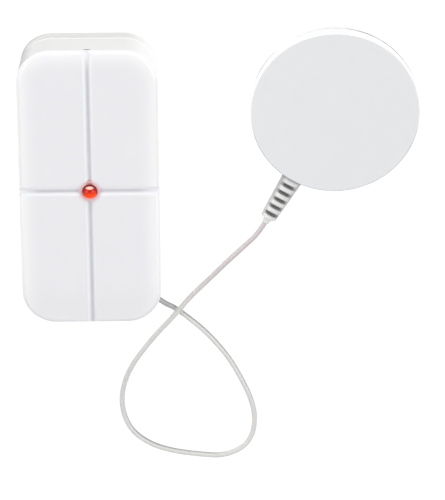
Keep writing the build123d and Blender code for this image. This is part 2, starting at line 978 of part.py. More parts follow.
with BuildPart() as clamp_screw:
    upright(
        clamp_posts[0].X,
        clamp_posts[0].Y,
        floor_height,
        clamp_top,
        clamp_screw_radius,
    )
    upright(
        clamp_posts[0].X,
        clamp_posts[0].Y,
        clamp_top,
        clamp_top + clamp_screw_head_height,
        clamp_screw_head_radius,
    )
    chamfer(clamp_screw.edges().group_by(Axis.Z)[-1], screw_head_chamfer)
finish(clamp_screw, "clamp_screw")

# Cable inside the housing: jacket up to where it is stripped, then its two cores
with BuildPart() as housing_tail:
    with BuildSketch(exit_plane):
        RegularPolygon(cable_radius, cable_sides)
    extrude(amount=-cable_strip_length)
finish(housing_tail, "housing_tail")

wire_height = board_top + terminal_wire_height
with BuildPart() as housing_cores:
    for side, (way_x, way_y) in zip((1, -1), terminal_ways):
        core_start = strip_point + across_exit * side * core_pitch / 2
        core_points = [
            core_start,
            core_start - exit_direction * core_pitch * 2,
            (way_x, terminal_face_y - 2 * core_pitch, wire_height),
            (way_x, terminal_face_y, wire_height),
        ]
        wire(core_points, core_radius, wire_sides, core_bend_radius)
finish(housing_cores, "housing_cores")

# Free cable: straight runs joined by arcs as large as each pair of runs allows
corner_radii = []
for before, corner, after in zip(cable_route, cable_route[1:], cable_route[2:]):
    run_in = corner - before
    run_out = after - corner
    half_turn = radians(run_in.get_angle(run_out)) / 2
    corner_radii.append(0.45 * min(run_in.length, run_out.length) / tan(half_turn))
print("cable radii", [round(radius, 1) for radius in corner_radii])

with BuildPart() as cable:
    wire(cable_route, cable_radius, cable_sides, corner_radii)
with BuildLine() as cable_path:
    FilletPolyline(*cable_route, radius=corner_radii)
cable_length = cable_path.wires()[0].length
section_area = cable_sides * cable_radius**2 * sin(2 * pi / cable_sides) / 2
print("cable length", round(cable_length, 1))
print("cable volume", round(cable.part.volume, 2), "expected", round(section_area * cable_length, 2))
finish(cable, "cable")

# Round sensor: base disc with its spigot ring, and the pad in its back
cavity_radius = sensor_radius - sensor_wall
spigot_radius = cavity_radius - spigot_clearance
cavity_top = sensor_face_height - sensor_face_thickness
spigot_gap = boot_flange_width + 4 * boot_throat_clearance

with BuildPart() as sensor_base:
    upright(sensor_x, sensor_y, pad_proud, sensor_seam_height, sensor_radius)
    chamfer(sensor_base.edges().filter_by(GeomType.CIRCLE), sensor_seam_chamfer)
    with BuildSketch(Plane.XY.offset(sensor_seam_height)):
        with Locations((sensor_x, sensor_y)):
            Circle(spigot_radius)
            Circle(spigot_radius - spigot_wall, mode=Mode.SUBTRACT)
    extrude(amount=spigot_height)
    with BuildSketch(sensor_plane(sensor_seam_height)):
        with Locations((spigot_radius, 0)):
            Rectangle(4 * spigot_wall, spigot_gap)
    extrude(amount=spigot_height, mode=Mode.SUBTRACT)
    upright(
        sensor_x,
        sensor_y,
        pad_proud,
        sensor_pad_thickness,
        sensor_pad_radius,
        mode=Mode.SUBTRACT,
    )
finish(sensor_base, "sensor_base")

with BuildPart() as sensor_pad:
    upright(sensor_x, sensor_y, 0, sensor_pad_thickness, sensor_pad_radius)
finish(sensor_pad, "sensor_pad")

# Round sensor's cap: flat face, hollow inside, with the strain relief's throat
with BuildPart() as sensor_cap:
    upright(sensor_x, sensor_y, sensor_seam_height, sensor_face_height, sensor_radius)
    chamfer(sensor_cap.edges().group_by(Axis.Z)[-1], sensor_edge_chamfer)
    chamfer(sensor_cap.edges().group_by(Axis.Z)[0], sensor_seam_chamfer)
    upright(
        sensor_x,
        sensor_y,
        sensor_seam_height,
        cavity_top,
        cavity_radius,
        mode=Mode.SUBTRACT,
    )
    with BuildSketch(radial_plane(cavity_radius - sensor_wall)):
        Rectangle(
            boot_throat_width + 2 * boot_throat_clearance,
            boot_throat_height + 2 * boot_throat_clearance,
        )
    extrude(amount=3 * sensor_wall, mode=Mode.SUBTRACT)
finish(sensor_cap, "sensor_cap")

# Piezo element: ceramic disc on a brass plate, glued to the base
ceramic_height = sensor_seam_height + plate_thickness
with BuildPart() as piezo_plate:
    upright(sensor_x, sensor_y, sensor_seam_height, ceramic_height, plate_radius)
finish(piezo_plate, "piezo_plate")

with BuildPart() as piezo_ceramic:
    upright(
        sensor_x,
        sensor_y,
        ceramic_height,
        ceramic_height + ceramic_thickness,
        ceramic_radius,
    )
finish(piezo_ceramic, "piezo_ceramic")


def boot_share(distance: float) -> float:
    """How far along the tapered body a distance from the sensor's centre lies, 0 to 1."""
    return (distance - sensor_radius) / (boot_end_radius - sensor_radius)


def boot_width(distance: float) -> float:
    """Width of the tapered body at a distance from the sensor's centre."""
    return boot_root_width + boot_share(distance) * (boot_tip_width - boot_root_width)


def boot_height(distance: float) -> float:
    """Height of the tapered body at a distance from the sensor's centre."""
    return boot_root_height + boot_share(distance) * (boot_tip_height - boot_root_height)


def boot_section(distance: float) -> Sketch:
    """Draw the strain relief's rounded section at a distance from the centre."""
    height = boot_height(distance)
    with BuildSketch(radial_plane(distance)) as section:
        Ellipse(boot_width(distance) / 2, height / 2)
    return section.sketch


def boot_slot(distance: float) -> None:
    """Cut one slot from above and below, down to the cover of the cable."""
    half_slot = boot_slot_width / 2
    core = cable_radius + boot_core_cover
    brow = boot_height(distance) / 2 + groove_run_in
    bend = boot_slot_flare * (1 - cos(pi / 4))
    side_plane = Plane(
        origin=sensor_centre + radial * distance,
        x_dir=radial,
        z_dir=-across_radial,
    )
    with BuildSketch(side_plane) as section:
        with BuildLine():
            Polyline((0, core), (half_slot, core), (half_slot, brow - boot_slot_flare))
            ThreePointArc(
                (half_slot, brow - boot_slot_flare),
                (half_slot + bend, brow - bend),
                (half_slot + boot_slot_flare, brow),
            )
            Polyline(
                (half_slot + boot_slot_flare, brow),
                (half_slot + boot_slot_flare, 2 * brow),
                (0, 2 * brow),
            )
            mirror(about=Plane.YZ)
        make_face()
        mirror(about=Plane.XZ)
    reach = boot_width(distance) / 2 - boot_rail
    extrude(section.sketch, amount=reach, both=True, mode=Mode.SUBTRACT)


# Strain relief: tapered and slotted outside, a flange inside the cap, a neck at the cable
flange_outer = sqrt(cavity_radius**2 - (boot_flange_width / 2) ** 2) - boot_throat_clearance
flange_inner = flange_outer - boot_flange_length
radial_axis = Axis(sensor_centre, radial)
with BuildPart() as strain_relief:
    loft([boot_section(sensor_radius - boot_rail), boot_section(boot_end_radius)], ruled=True)
    fillet(strain_relief.faces().sort_by(radial_axis)[-1].edges(), boot_tip_round)
    upright(
        sensor_x,
        sensor_y,
        0,
        sensor_face_height,
        sensor_radius,
        mode=Mode.SUBTRACT,
    )
    with BuildSketch(radial_plane(flange_inner)):
        Rectangle(boot_throat_width, boot_throat_height)
    extrude(amount=sensor_radius + boot_rail - flange_inner)
    with BuildSketch(radial_plane(flange_inner)):
        Rectangle(boot_flange_width, boot_throat_height)
    extrude(amount=boot_flange_length)
    for slot in range(boot_slots):
        boot_slot(sensor_radius + boot_first_slot + slot * boot_slot_pitch)
    with BuildSketch(radial_plane(boot_end_radius)):
        Circle(boot_neck_root)
    with BuildSketch(radial_plane(boot_neck_end_radius)):
        Circle(boot_neck_tip)
    loft(ruled=True)
    with BuildSketch(radial_plane(flange_inner)):
        Circle(cable_radius + boot_bore_clearance)
    extrude(amount=boot_neck_end_radius - flange_inner, mode=Mode.SUBTRACT)
finish(strain_relief, "strain_relief")

# Cable inside the strain relief, and its two cores to the piezo element
tail_end = flange_inner - tail_length
with BuildPart() as sensor_tail:
    with BuildSketch(radial_plane(tail_end)):
        RegularPolygon(cable_radius, cable_sides)
    extrude(amount=boot_neck_end_radius - tail_end)
finish(sensor_tail, "sensor_tail")

core_ends = [
    (1, plate_radius - sensor_core_inset, ceramic_height),
    (-1, ceramic_radius - sensor_core_inset, ceramic_height + ceramic_thickness),
]
with BuildPart() as sensor_cores:
    for side, end_distance, end_height in core_ends:
        aside = across_radial * side * core_pitch / 2
        turn = sensor_centre + radial * end_distance + aside
        core_points = [
            sensor_centre + radial * tail_end + aside,
            turn,
            (turn.X, turn.Y, end_height),
        ]
        wire(core_points, core_radius, wire_sides, core_bend_radius)
finish(sensor_cores, "sensor_cores")
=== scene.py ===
import json
import logging
from dataclasses import dataclass
from enum import Enum
from functools import reduce
from math import cos, pi, radians, sin
from typing import Any

import bmesh
import bpy
from mathutils import Matrix, Vector

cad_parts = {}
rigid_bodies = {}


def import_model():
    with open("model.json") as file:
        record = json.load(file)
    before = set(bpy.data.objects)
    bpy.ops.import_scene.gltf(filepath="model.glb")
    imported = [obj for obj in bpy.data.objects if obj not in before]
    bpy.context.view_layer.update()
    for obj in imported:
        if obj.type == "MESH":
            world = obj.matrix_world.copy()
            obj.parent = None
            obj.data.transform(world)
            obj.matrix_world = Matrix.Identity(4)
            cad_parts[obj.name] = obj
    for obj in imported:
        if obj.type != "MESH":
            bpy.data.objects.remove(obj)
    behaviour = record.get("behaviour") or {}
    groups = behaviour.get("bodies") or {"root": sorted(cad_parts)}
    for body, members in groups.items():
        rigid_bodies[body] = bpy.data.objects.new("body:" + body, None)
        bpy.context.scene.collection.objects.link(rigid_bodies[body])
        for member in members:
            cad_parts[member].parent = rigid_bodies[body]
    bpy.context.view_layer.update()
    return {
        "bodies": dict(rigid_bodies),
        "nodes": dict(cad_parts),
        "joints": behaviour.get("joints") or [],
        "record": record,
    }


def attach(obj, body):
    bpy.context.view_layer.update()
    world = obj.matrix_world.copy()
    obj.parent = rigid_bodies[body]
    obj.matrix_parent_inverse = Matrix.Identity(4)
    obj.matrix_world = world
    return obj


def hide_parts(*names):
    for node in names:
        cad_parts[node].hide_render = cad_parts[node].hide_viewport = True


log = logging.getLogger("glass_break_sensor")

Place = tuple[float, float, float]
Size = tuple[float, float, float]
Spot = tuple[float, float]
Profile = list[Spot]
Mesh = bmesh.types.BMesh
Socket = bpy.types.NodeSocket
Layers = list[tuple[Socket, float]]

MM = 0.001
SAME_POINT = 0.0005

# Places and sizes in mm that more than one class uses.
BOARD_TOP = 5.5
CHIP_ROW = -13.2
LAMP: Spot = (0.1, -0.6)
LAMP_RADIUS = 1.66
DOME_CENTRE = 15.55
CAPACITOR: Spot = (9.6, -0.4)
CELL: Spot = (-8.9, 7.75)
ROUND_SENSOR: Place = (59.6, 15.4, 0.0)


class Body(Enum):
    """The bodies that pieces ride on."""

    HOUSING = "housing"
    COVER = "cover"
    TAMPER = "tamper"
    BUTTON = "button"
    ROTOR = "rotor"


class Axis(Enum):
    """The way a turned piece's centre line runs, and the side that its profile is drawn on."""

    Y = ((0, 1, 0), (0, 0, 1))
    Z = ((0, 0, 1), (1, 0, 0))


class Recess(Enum):
    """What a screwdriver finds in a head, as the number of its blades."""

    SLOT = 1
    CROSS = 2


def linear(code: str) -> tuple[float, float, float, float]:
    """Turn an sRGB hex colour to a linear one.

    Args:
        code: Six hex digits after a hash sign.

    Returns:
        Red, green, blue and an alpha of one.
    """
    channels = [int(code[start : start + 2], 16) / 255 for start in (1, 3, 5)]
    red, green, blue = (
        value / 12.92 if value <= 0.04045 else ((value + 0.055) / 1.055) ** 2.4 for value in channels
    )
    return (red, green, blue, 1.0)


@dataclass
class Canvas:
    """A material's node tree, and the place in mm that its patterns are drawn from."""

    tree: bpy.types.NodeTree
    place: Socket | None = None

    def add(self, kind: str, entries: dict[str | int, Any] | None = None) -> bpy.types.Node:
        """Add one shader node.

        Args:
            kind: The node's type name.
            entries: Values and sockets, by property name or by input name or number.

        Returns:
            The new node.
        """
        node = self.tree.nodes.new(kind)
        for key, value in (entries or {}).items():
            if isinstance(value, bpy.types.NodeSocket):
                self.tree.links.new(value, node.inputs[key])
            elif isinstance(key, str) and hasattr(node, key):
                setattr(node, key, value)
            else:
                node.inputs[key].default_value = value
        return node

    def math(self, operation: str, *values: Socket | float) -> Socket:
        """Do one sum with sockets or plain numbers."""
        return self.add("ShaderNodeMath", {"operation": operation, **dict(enumerate(values))}).outputs[0]

    def vector(self, operation: str, *values: Socket | Place) -> Socket:
        """Do one sum with vectors. A length and a dot product give a number."""
        node = self.add("ShaderNodeVectorMath", {"operation": operation, **dict(enumerate(values))})
        return node.outputs["Value" if operation in ("LENGTH", "DOT_PRODUCT") else "Vector"]

    def product(self, *values: Socket) -> Socket:
        """Multiply any number of values."""
        return reduce(lambda one, other: self.math("MULTIPLY", one, other), values)

    def axis(self, name: str) -> Socket:
        """Read one coordinate of the place."""
        return self.add("ShaderNodeSeparateXYZ", {0: self.place}).outputs[name]

    def band(self, value: Socket, low: float, high: float) -> Socket:
        """Give one where a value lies between two others, and zero elsewhere."""
        return self.product(self.math("GREATER_THAN", value, low), self.math("LESS_THAN", value, high))

    def ramp(self, value: Socket, ends: Spot, low: float = 0.0, high: float = 1.0) -> Socket:
        """Run straight between two levels.

        Args:
            value: What is looked at.
            ends: The two levels.
            low: The value at the first level. It may be more than the other.
            high: The value at the second level.

        Returns:
            The level's socket.
        """
        entries = {"Value": value, "From Min": low, "From Max": high, "To Min": ends[0], "To Max": ends[1]}
        return self.add("ShaderNodeMapRange", entries).outputs["Result"]

    def eased(self, value: Socket, low: float, high: float) -> Socket:
        """Run from nothing to one with soft ends.

        Args:
            value: What is looked at.
            low: Where nothing ends. It may be more than the high value.
            high: Where one begins.

        Returns:
            The share's socket.
        """
        entries = {"interpolation_type": "SMOOTHSTEP", "Value": value, "From Min": low, "From Max": high}
        return self.add("ShaderNodeMapRange", entries).outputs["Result"]

    def far(self, centre: Place, across: Place) -> Socket:
        """Measure how far the place is from a line or a point, in mm.

        Args:
            centre: A point on the line.
            across: One for each axis that counts and zero for each that doesn't.

        Returns:
            The distance's socket.
        """
        offset = self.vector("SUBTRACT", self.place, centre)
        return self.vector("LENGTH", self.vector("MULTIPLY", offset, across))

    def oval(self, centre: Place, size: Size, turn_deg: float, soft: Spot) -> Socket:
        """Mask a soft oval on the side of its centre that its turned Z axis points to.

        Args:
            centre: The oval's centre.
            size: Half its width, half its height and the unit of its reach.
            turn_deg: How far it is turned round X.
            soft: Where its edge ends and begins, in parts of its size.

        Returns:
            The mask's socket.
        """
        turn = (radians(turn_deg), 0.0, 0.0)
        entries = {"Location": centre, "Rotation": turn, "Scale": size, "Vector": self.place}
        mapped = self.add("ShaderNodeMapping", {"vector_type": "TEXTURE", **entries}).outputs[0]
        inner = Canvas(self.tree, mapped)
        near = inner.eased(inner.far((0.0, 0.0, 0.0), (1, 1, 0)), *soft)
        return self.product(near, self.band(inner.axis("Z"), 0.0, 4.0))

    def blended(self, share: Socket, one: str | Socket, other: str | Socket) -> Socket:
        """Mix two colours.

        Args:
            share: How much of the other colour there is.
            one: The first colour, as a hex code or a socket.
            other: The other colour, likewise.

        Returns:
            The mixed colour's socket.
        """
        pair = (linear(colour) if isinstance(colour, str) else colour for colour in (one, other))
        entries = {"data_type": "RGBA", 0: share, **dict(zip((6, 7), pair))}
        return self.add("ShaderNodeMix", entries).outputs[2]

    def cloud(self, width_mm: float) -> Socket:
        """Make a soft random pattern from zero to one, with patches of this width."""
        entries = {"Scale": 1 / width_mm, "Detail": 2.0, "Vector": self.place}
        return self.add("ShaderNodeTexNoise", entries).outputs["Fac"]

    def cells(self, width_mm: float) -> Socket:
        """Measure how far the place is from the nearest of many scattered points."""
        entries = {"Scale": 1 / width_mm, "Vector": self.place}
        return self.add("ShaderNodeTexVoronoi", entries).outputs["Distance"]


@dataclass(frozen=True)
class Finish:
    """A mottled surface with a fine grain, the base of every other finish."""

    name: str
    colour: str
    shade: str
    roughness: float = 0.4
    roughness_swing: float = 0.05
    ior: float = 1.5
    metallic: float = 0.0
    mottle_mm: float = 7.0
    grain_mm: float = 0.3
    grain_height_mm: float = 0.004
    glow_depth_mm: float = 0.0
    glow_weight: float = 0.0
    coat: float = 0.0
    coat_roughness: float = 0.1
    emission: str = "#000000"
    emission_strength: float = 0.0

    def build(self) -> bpy.types.Material:
        """Make the material: its shader with its constants, then its patterns.

        Returns:
            The material.
        """
        material = bpy.data.materials.new(self.name)
        material.use_nodes = True
        at = Canvas(material.node_tree)
        at.tree.nodes.clear()
        constants = {
            "Base Color": linear(self.colour),
            "Roughness": self.roughness,
            "IOR": self.ior,
            "Metallic": self.metallic,
            "Coat Weight": self.coat,
            "Coat Roughness": self.coat_roughness,
            "Subsurface Weight": self.glow_weight,
            "Subsurface Scale": self.glow_depth_mm * MM,
            "Subsurface Radius": (1.0, 0.85, 0.75),
            "Emission Color": linear(self.emission),
            "Emission Strength": self.emission_strength,
        }
        shader = at.add("ShaderNodeBsdfPrincipled", constants)
        at.add("ShaderNodeOutputMaterial", {"Surface": shader.outputs["BSDF"]})
        spot = at.add("ShaderNodeTexCoord").outputs["Object"]
        at.place = at.add("ShaderNodeMapping", {"Scale": (1 / MM,) * 3, "Vector": spot}).outputs[0]
        made = {
            "Base Color": self.paint(at),
            "Roughness": self.gloss(at),
            "Metallic": self.plating(at),
            "Emission Strength": self.light(at),
            "Normal": self.relief(at),
        }
        for entry, socket in made.items():
            if socket is not None:
                at.tree.links.new(socket, shader.inputs[entry])
        return material

    def paint(self, at: Canvas) -> Socket:
        """Mottle the colour softly between its two shades."""
        return at.blended(at.cloud(self.mottle_mm), self.colour, self.shade)

    def gloss(self, at: Canvas) -> Socket:
        """Vary the roughness in patches, as handling does."""
        ends = (self.roughness - self.roughness_swing, self.roughness + self.roughness_swing)
        return at.ramp(at.cloud(self.mottle_mm * 0.4), ends)

    def plating(self, at: Canvas) -> Socket | None:
        """Say where the surface is metal. Most finishes are the same all over."""
        return None

    def light(self, at: Canvas) -> Socket | None:
        """Say where the surface gives light of its own. Most finishes don't."""
        return None

    def height(self, at: Canvas) -> Layers:
        """Give the surface's layers of relief, each with its height in mm."""
        return [(at.cloud(self.grain_mm), self.grain_height_mm)]

    def relief(self, at: Canvas) -> Socket:
        """Raise each layer of relief on the one before it.

        Args:
            at: The material's canvas.

        Returns:
            The normal's socket.
        """
        below: dict[str | int, Socket] = {}
        for layer, rise in self.height(at):
            entries = {"Strength": 1.0, "Distance": rise * MM, "Height": layer, **below}
            below = {"Normal": at.add("ShaderNodeBump", entries).outputs["Normal"]}
        return below["Normal"]


@dataclass(frozen=True)
class MouldedAbs(Finish):
    """Injection-moulded ABS: a satin skin off a spark-eroded tool, a little light under it."""

    # The fine orange-peel of the tool softens each highlight, and the glow softens each edge.
    roughness: float = 0.33
    roughness_swing: float = 0.03
    ior: float = 1.53
    grain_mm: float = 0.45
    grain_height_mm: float = 0.0022
    glow_depth_mm: float = 0.8
    glow_weight: float = 0.12
    corner_shade: str = "#8A8A8E"
    corner_span: Spot = (25.5, 28.5)

    def turned_away(self, at: Canvas, start: float, end: float) -> Socket:
        """Mask the upper left corner, which is turned away from the light, between two x values."""
        return at.product(at.eased(at.axis("X"), start, end), at.eased(at.axis("Y"), *self.corner_span))


@dataclass(frozen=True)
class CrownedAbs(MouldedAbs):
    """The cover's ABS: its face falls gently to a rim painted white as a highlight, with painted shade in
    its groove.
    """

    # The rim and the groove's rolled shoulders are painted paler as highlights, and the groove's core darker
    # as shade.
    half_width: float = 16.6
    half_length: float = 35.0
    corner: float = 8.0
    fall_width: float = 5.5
    fall: float = 0.008
    # Painted highlight: the colour of the rim.
    rim: str = "#FFFFFF"
    rim_power: float = 2.2
    rim_rise: float = 0.7
    # Painted shade: the face's lower end is darker, and its rim there less bright.
    low_end_shade: str = "#EBEBEE"
    low_rim: str = "#F1F1F4"
    low_span: Spot = (-22.0, -36.0)
    cross: Spot = LAMP
    # Painted shade in the groove's core.
    core: str = "#DADAE0"
    core_width: Spot = (0.7, 0.1)
    # Painted highlight on the groove's rolled shoulders.
    shoulder_highlight: str = "#F9F9FC"
    shoulder_width: Spot = (1.6, 0.9)
    groove_band: Spot = (14.3, 15.26)
    # Painted shade: the walls are darker than the face, the left darker still; the right wall is painted
    # lighter as light.
    wall: str = "#E8E8E6"
    left_wall_shade: str = "#DEDEDE"
    left_span: Spot = (-6.0, -15.0)
    right_wall_light: str = "#F6F6F6"
    right_span: Spot = (9.0, 16.0)
    wall_top: float = 13.9
    # Painted highlight: a band along the cover's lower edge is painted white, fading out at the left corner.
    edge_band: Spot = (4.3, 5.25)
    edge_span: Spot = (-16.5, -11.0)
    notch: Place = (0.1, 34.4, 13.7)
    # Painted shade inside the thumb notch.
    notch_shade: str = "#8A8A8C"
    # Painted light: the lamp's red glow on the cover round it.
    lamp_glow: str = "#E9B4BB"
    glow_width: Spot = (3.3, 1.7)
    # Painted shade on the cover just above the lamp.
    lamp_shade: str = "#BC7C82"
    shade_centre: Place = (0.1, 1.05, 14.4)
    coat: float = 0.35
    coat_roughness: float = 0.2

    def inset(self, at: Canvas) -> Socket:
        """Measure how far a point lies inside the face's outline, in mm.

        Args:
            at: The material's canvas.

        Returns:
            The distance's socket.
        """
        inner = (self.half_width - self.corner, self.half_length - self.corner, 100.0)
        past = at.vector("SUBTRACT", at.vector("ABSOLUTE", at.place), inner)
        out = at.vector("LENGTH", at.vector("MAXIMUM", past, (0.0, 0.0, 0.0)))
        return at.math("SUBTRACT", self.corner, out)

    def near_rim(self, at: Canvas) -> Socket:
        """Rise from nothing well inside the face to one at its rim, as the mask of the painted highlight.

        Args:
            at: The material's canvas.

        Returns:
            The share's socket.
        """
        share = at.ramp(self.inset(at), (0.0, 1.0), self.fall_width, 0.0)
        high = at.ramp(at.axis("Z"), (0.0, 1.0), self.wall_top, self.wall_top + self.rim_rise)
        return at.product(at.math("POWER", share, self.rim_power), high)

    def along_groove(self, at: Canvas, width: Spot) -> Socket:
        """Ease from nothing at one distance from the groove's centre lines to one at a nearer one.

        Args:
            at: The material's canvas.
            width: The two distances.

        Returns:
            The share's socket.
        """
        offsets = [at.math("SUBTRACT", at.axis(axis), centre) for axis, centre in zip("XY", self.cross)]
        arms = [at.eased(at.math("ABSOLUTE", offset), *width) for offset in offsets]
        return at.product(at.math("MAXIMUM", *arms), at.band(at.axis("Z"), *self.groove_band))

    def round_lamp(self, at: Canvas, low: float, high: float) -> Socket:
        """Ease from nothing at one distance from the lamp to one at another."""
        return at.eased(at.far((*self.cross, 0.0), (1, 1, 0)), low, high)

    def groove_core_shade(self, at: Canvas) -> Socket:
        """Mask the groove's core for painted shade, and let it fade at the lamp and over the upper and side
        rims.

        Args:
            at: The material's canvas.

        Returns:
            The mask's socket.
        """
        core = self.along_groove(at, self.core_width)
        sides = at.eased(at.math("ABSOLUTE", at.axis("X")), 16.6, 11.0)
        upper = at.eased(at.axis("Y"), 34.6, 29.0)
        return at.product(core, sides, upper, self.round_lamp(at, 2.0, 3.2))

    def sides(self, at: Canvas) -> Socket:
        """Colour the side walls with painted shade on the left and painted light on the right, and paint
        shade in the thumb notch and on the corner that is turned away.

        Args:
            at: The material's canvas.

        Returns:
            The colour's socket.
        """
        side = at.blended(at.eased(at.axis("X"), *self.left_span), self.wall, self.left_wall_shade)
        side = at.blended(at.eased(at.axis("X"), *self.right_span), side, self.right_wall_light)
        side = at.blended(self.turned_away(at, -12.8, -17.1), side, self.corner_shade)
        thumb = at.oval(self.notch, (1.0, 0.42, 1.0), -90.0, (1.1, 0.6))
        return at.blended(thumb, side, self.notch_shade)

    def paint(self, at: Canvas) -> Socket:
        """Paint highlights on the rim and the groove's shoulders, shade at the lower end, in the groove, on
        the walls and above the lamp, and the lamp's glow round it.

        Args:
            at: The material's canvas.

        Returns:
            The colour's socket.
        """
        low = at.eased(at.axis("Y"), *self.low_span)
        plain = at.blended(low, super().paint(at), self.low_end_shade)
        # The lower edge band gets the painted highlight of the rim colour.
        edge = at.product(at.band(at.axis("Z"), *self.edge_band), at.eased(at.axis("X"), *self.edge_span))
        high = at.band(at.axis("Z"), self.wall_top, 20.0)
        wall = at.blended(edge, at.blended(high, self.sides(at), plain), self.rim)
        face = at.blended(self.near_rim(at), wall, at.blended(low, self.rim, self.low_rim))
        rolled = at.blended(self.along_groove(at, self.shoulder_width), face, self.shoulder_highlight)
        groove_shaded = at.blended(self.groove_core_shade(at), rolled, self.core)
        glowing = at.blended(self.round_lamp(at, *self.glow_width), groove_shaded, self.lamp_glow)
        behind = at.oval(self.shade_centre, (1.35, 1.5, 3.0), 0.0, (1.0, 0.3))
        return at.blended(behind, glowing, self.lamp_shade)

    def height(self, at: Canvas) -> Layers:
        """Add the fall near the face's edges to the grain.

        Args:
            at: The material's canvas.

        Returns:
            The layers of relief.
        """
        deep = at.math("MAXIMUM", at.math("SUBTRACT", self.fall_width, self.inset(at)), 0.0)
        return [(at.math("MULTIPLY", at.product(deep, deep), -self.fall), 1.0)] + super().height(at)


@dataclass(frozen=True)
class FootedAbs(MouldedAbs):
    """The base's ABS: duller than the cover, with a line of painted shade at its foot and its right side
    painted paler as light.
    """

    # The grey line of painted shade sets the base's left corner off from a pale wall behind it.
    roughness: float = 0.42
    # Painted shade: a grey line along the foot of the upper left corner.
    painted_shade_colour: str = "#4E4E52"
    foot_shade_left: Spot = (-9.0, -16.5)
    foot_shade_upper: Spot = (21.0, 27.0)
    foot: Spot = (2.0, 0.8)
    # Painted light: the right side's paler colour.
    pale: str = "#F4F4F3"
    pale_span: Spot = (8.0, 16.0)

    def paint(self, at: Canvas) -> Socket:
        """Paint shade along the foot of the upper left corner and on the corner, and paint light on the
        right side.

        Args:
            at: The material's canvas.

        Returns:
            The colour's socket.
        """
        spans = (("X", self.foot_shade_left), ("Y", self.foot_shade_upper), ("Z", self.foot))
        foot_shade = at.product(*(at.eased(at.axis(axis), *span) for axis, span in spans))
        plain = at.blended(at.eased(at.axis("X"), *self.pale_span), super().paint(at), self.pale)
        shaded = at.blended(self.turned_away(at, -14.0, -16.8), plain, self.corner_shade)
        return at.blended(foot_shade, shaded, self.painted_shade_colour)


@dataclass(frozen=True)
class CapAbs(MouldedAbs):
    """The round cap's ABS: a satin grey-white face and a wall painted paler as a highlight."""

    # The wall is painted white round the duller face as a highlight.
    coat: float = 0.5
    coat_roughness: float = 0.12
    # Painted highlight: the wall's paler colour.
    wall: str = "#FDFDFD"
    seam: str = "#6E6F74"
    seam_band: Spot = (1.75, 2.3)
    seam_patch: float = 9.0
    centre: Place = ROUND_SENSOR
    face_radius: float = 20.28
    # Painted shade on the front of the face's edge.
    edge_shade: str = "#BDC0C7"
    edge_rise: Spot = (5.52, 5.6)
    edge_front: Spot = (16.0, 6.0)

    def paint(self, at: Canvas) -> Socket:
        """Paint the wall paler than the face as a highlight, darken the seam, and paint shade on the front
        of the face's edge.

        Args:
            at: The material's canvas.

        Returns:
            The colour's socket.
        """
        seam = at.band(at.axis("Z"), *self.seam_band)
        patchy = at.product(seam, at.eased(at.cloud(self.seam_patch), 0.3, 0.6))
        wall = at.blended(patchy, self.wall, self.seam)
        edge = at.product(at.eased(at.axis("Z"), *self.edge_rise), at.eased(at.axis("Y"), *self.edge_front))
        beyond = at.math("GREATER_THAN", at.far(self.centre, (1, 1, 0)), self.face_radius)
        return at.blended(beyond, super().paint(at), at.blended(edge, wall, self.edge_shade))


@dataclass(frozen=True)
class SoftPvc(Finish):
    """Plasticised PVC of the strain relief and the jackets: a waxy half gloss, greyer than ABS."""

    # Its low, wide highlight and its depth set the soft parts apart from the hard shells.
    roughness: float = 0.38
    ior: float = 1.53
    grain_mm: float = 0.2
    grain_height_mm: float = 0.003
    glow_depth_mm: float = 0.5
    glow_weight: float = 0.15


@dataclass(frozen=True)
class JacketPvc(SoftPvc):
    """The cable's PVC: extruded, warmer on the stretch that was handled next to the strain relief."""

    # A faint warm tint sets the upper stretch off from the greyer loop, and painted shade greys one side.
    tint: str = "#D2CACB"
    tint_span: Spot = (-20.0, 10.0)
    # Painted shade on the side that the normal below points to.
    painted_shade_colour: str = "#8F8F90"
    shaded_side: Place = (0.62, 0.76, -0.18)
    # Painted shade where the cable leaves the housing.
    exit_shade: str = "#BCBCBC"
    exit_spot: Place = (16.6, -35.6, 3.0)
    exit_reach: Spot = (5.4, 2.6)

    def paint(self, at: Canvas) -> Socket:
        """Warm the stretch up to the round sensor, and paint shade on the end at the housing and on one
        side.

        Args:
            at: The material's canvas.

        Returns:
            The colour's socket.
        """
        along = at.vector("DOT_PRODUCT", at.place, (1, 1, 0))
        warm = at.blended(at.eased(along, *self.tint_span), super().paint(at), self.tint)
        exit_end = at.eased(at.far(self.exit_spot, (1, 1, 0)), *self.exit_reach)
        shaded = at.blended(exit_end, warm, self.exit_shade)
        side = at.vector("DOT_PRODUCT", at.add("ShaderNodeNewGeometry").outputs["Normal"], self.shaded_side)
        return at.blended(at.eased(side, 0.3, 1.0), shaded, self.painted_shade_colour)


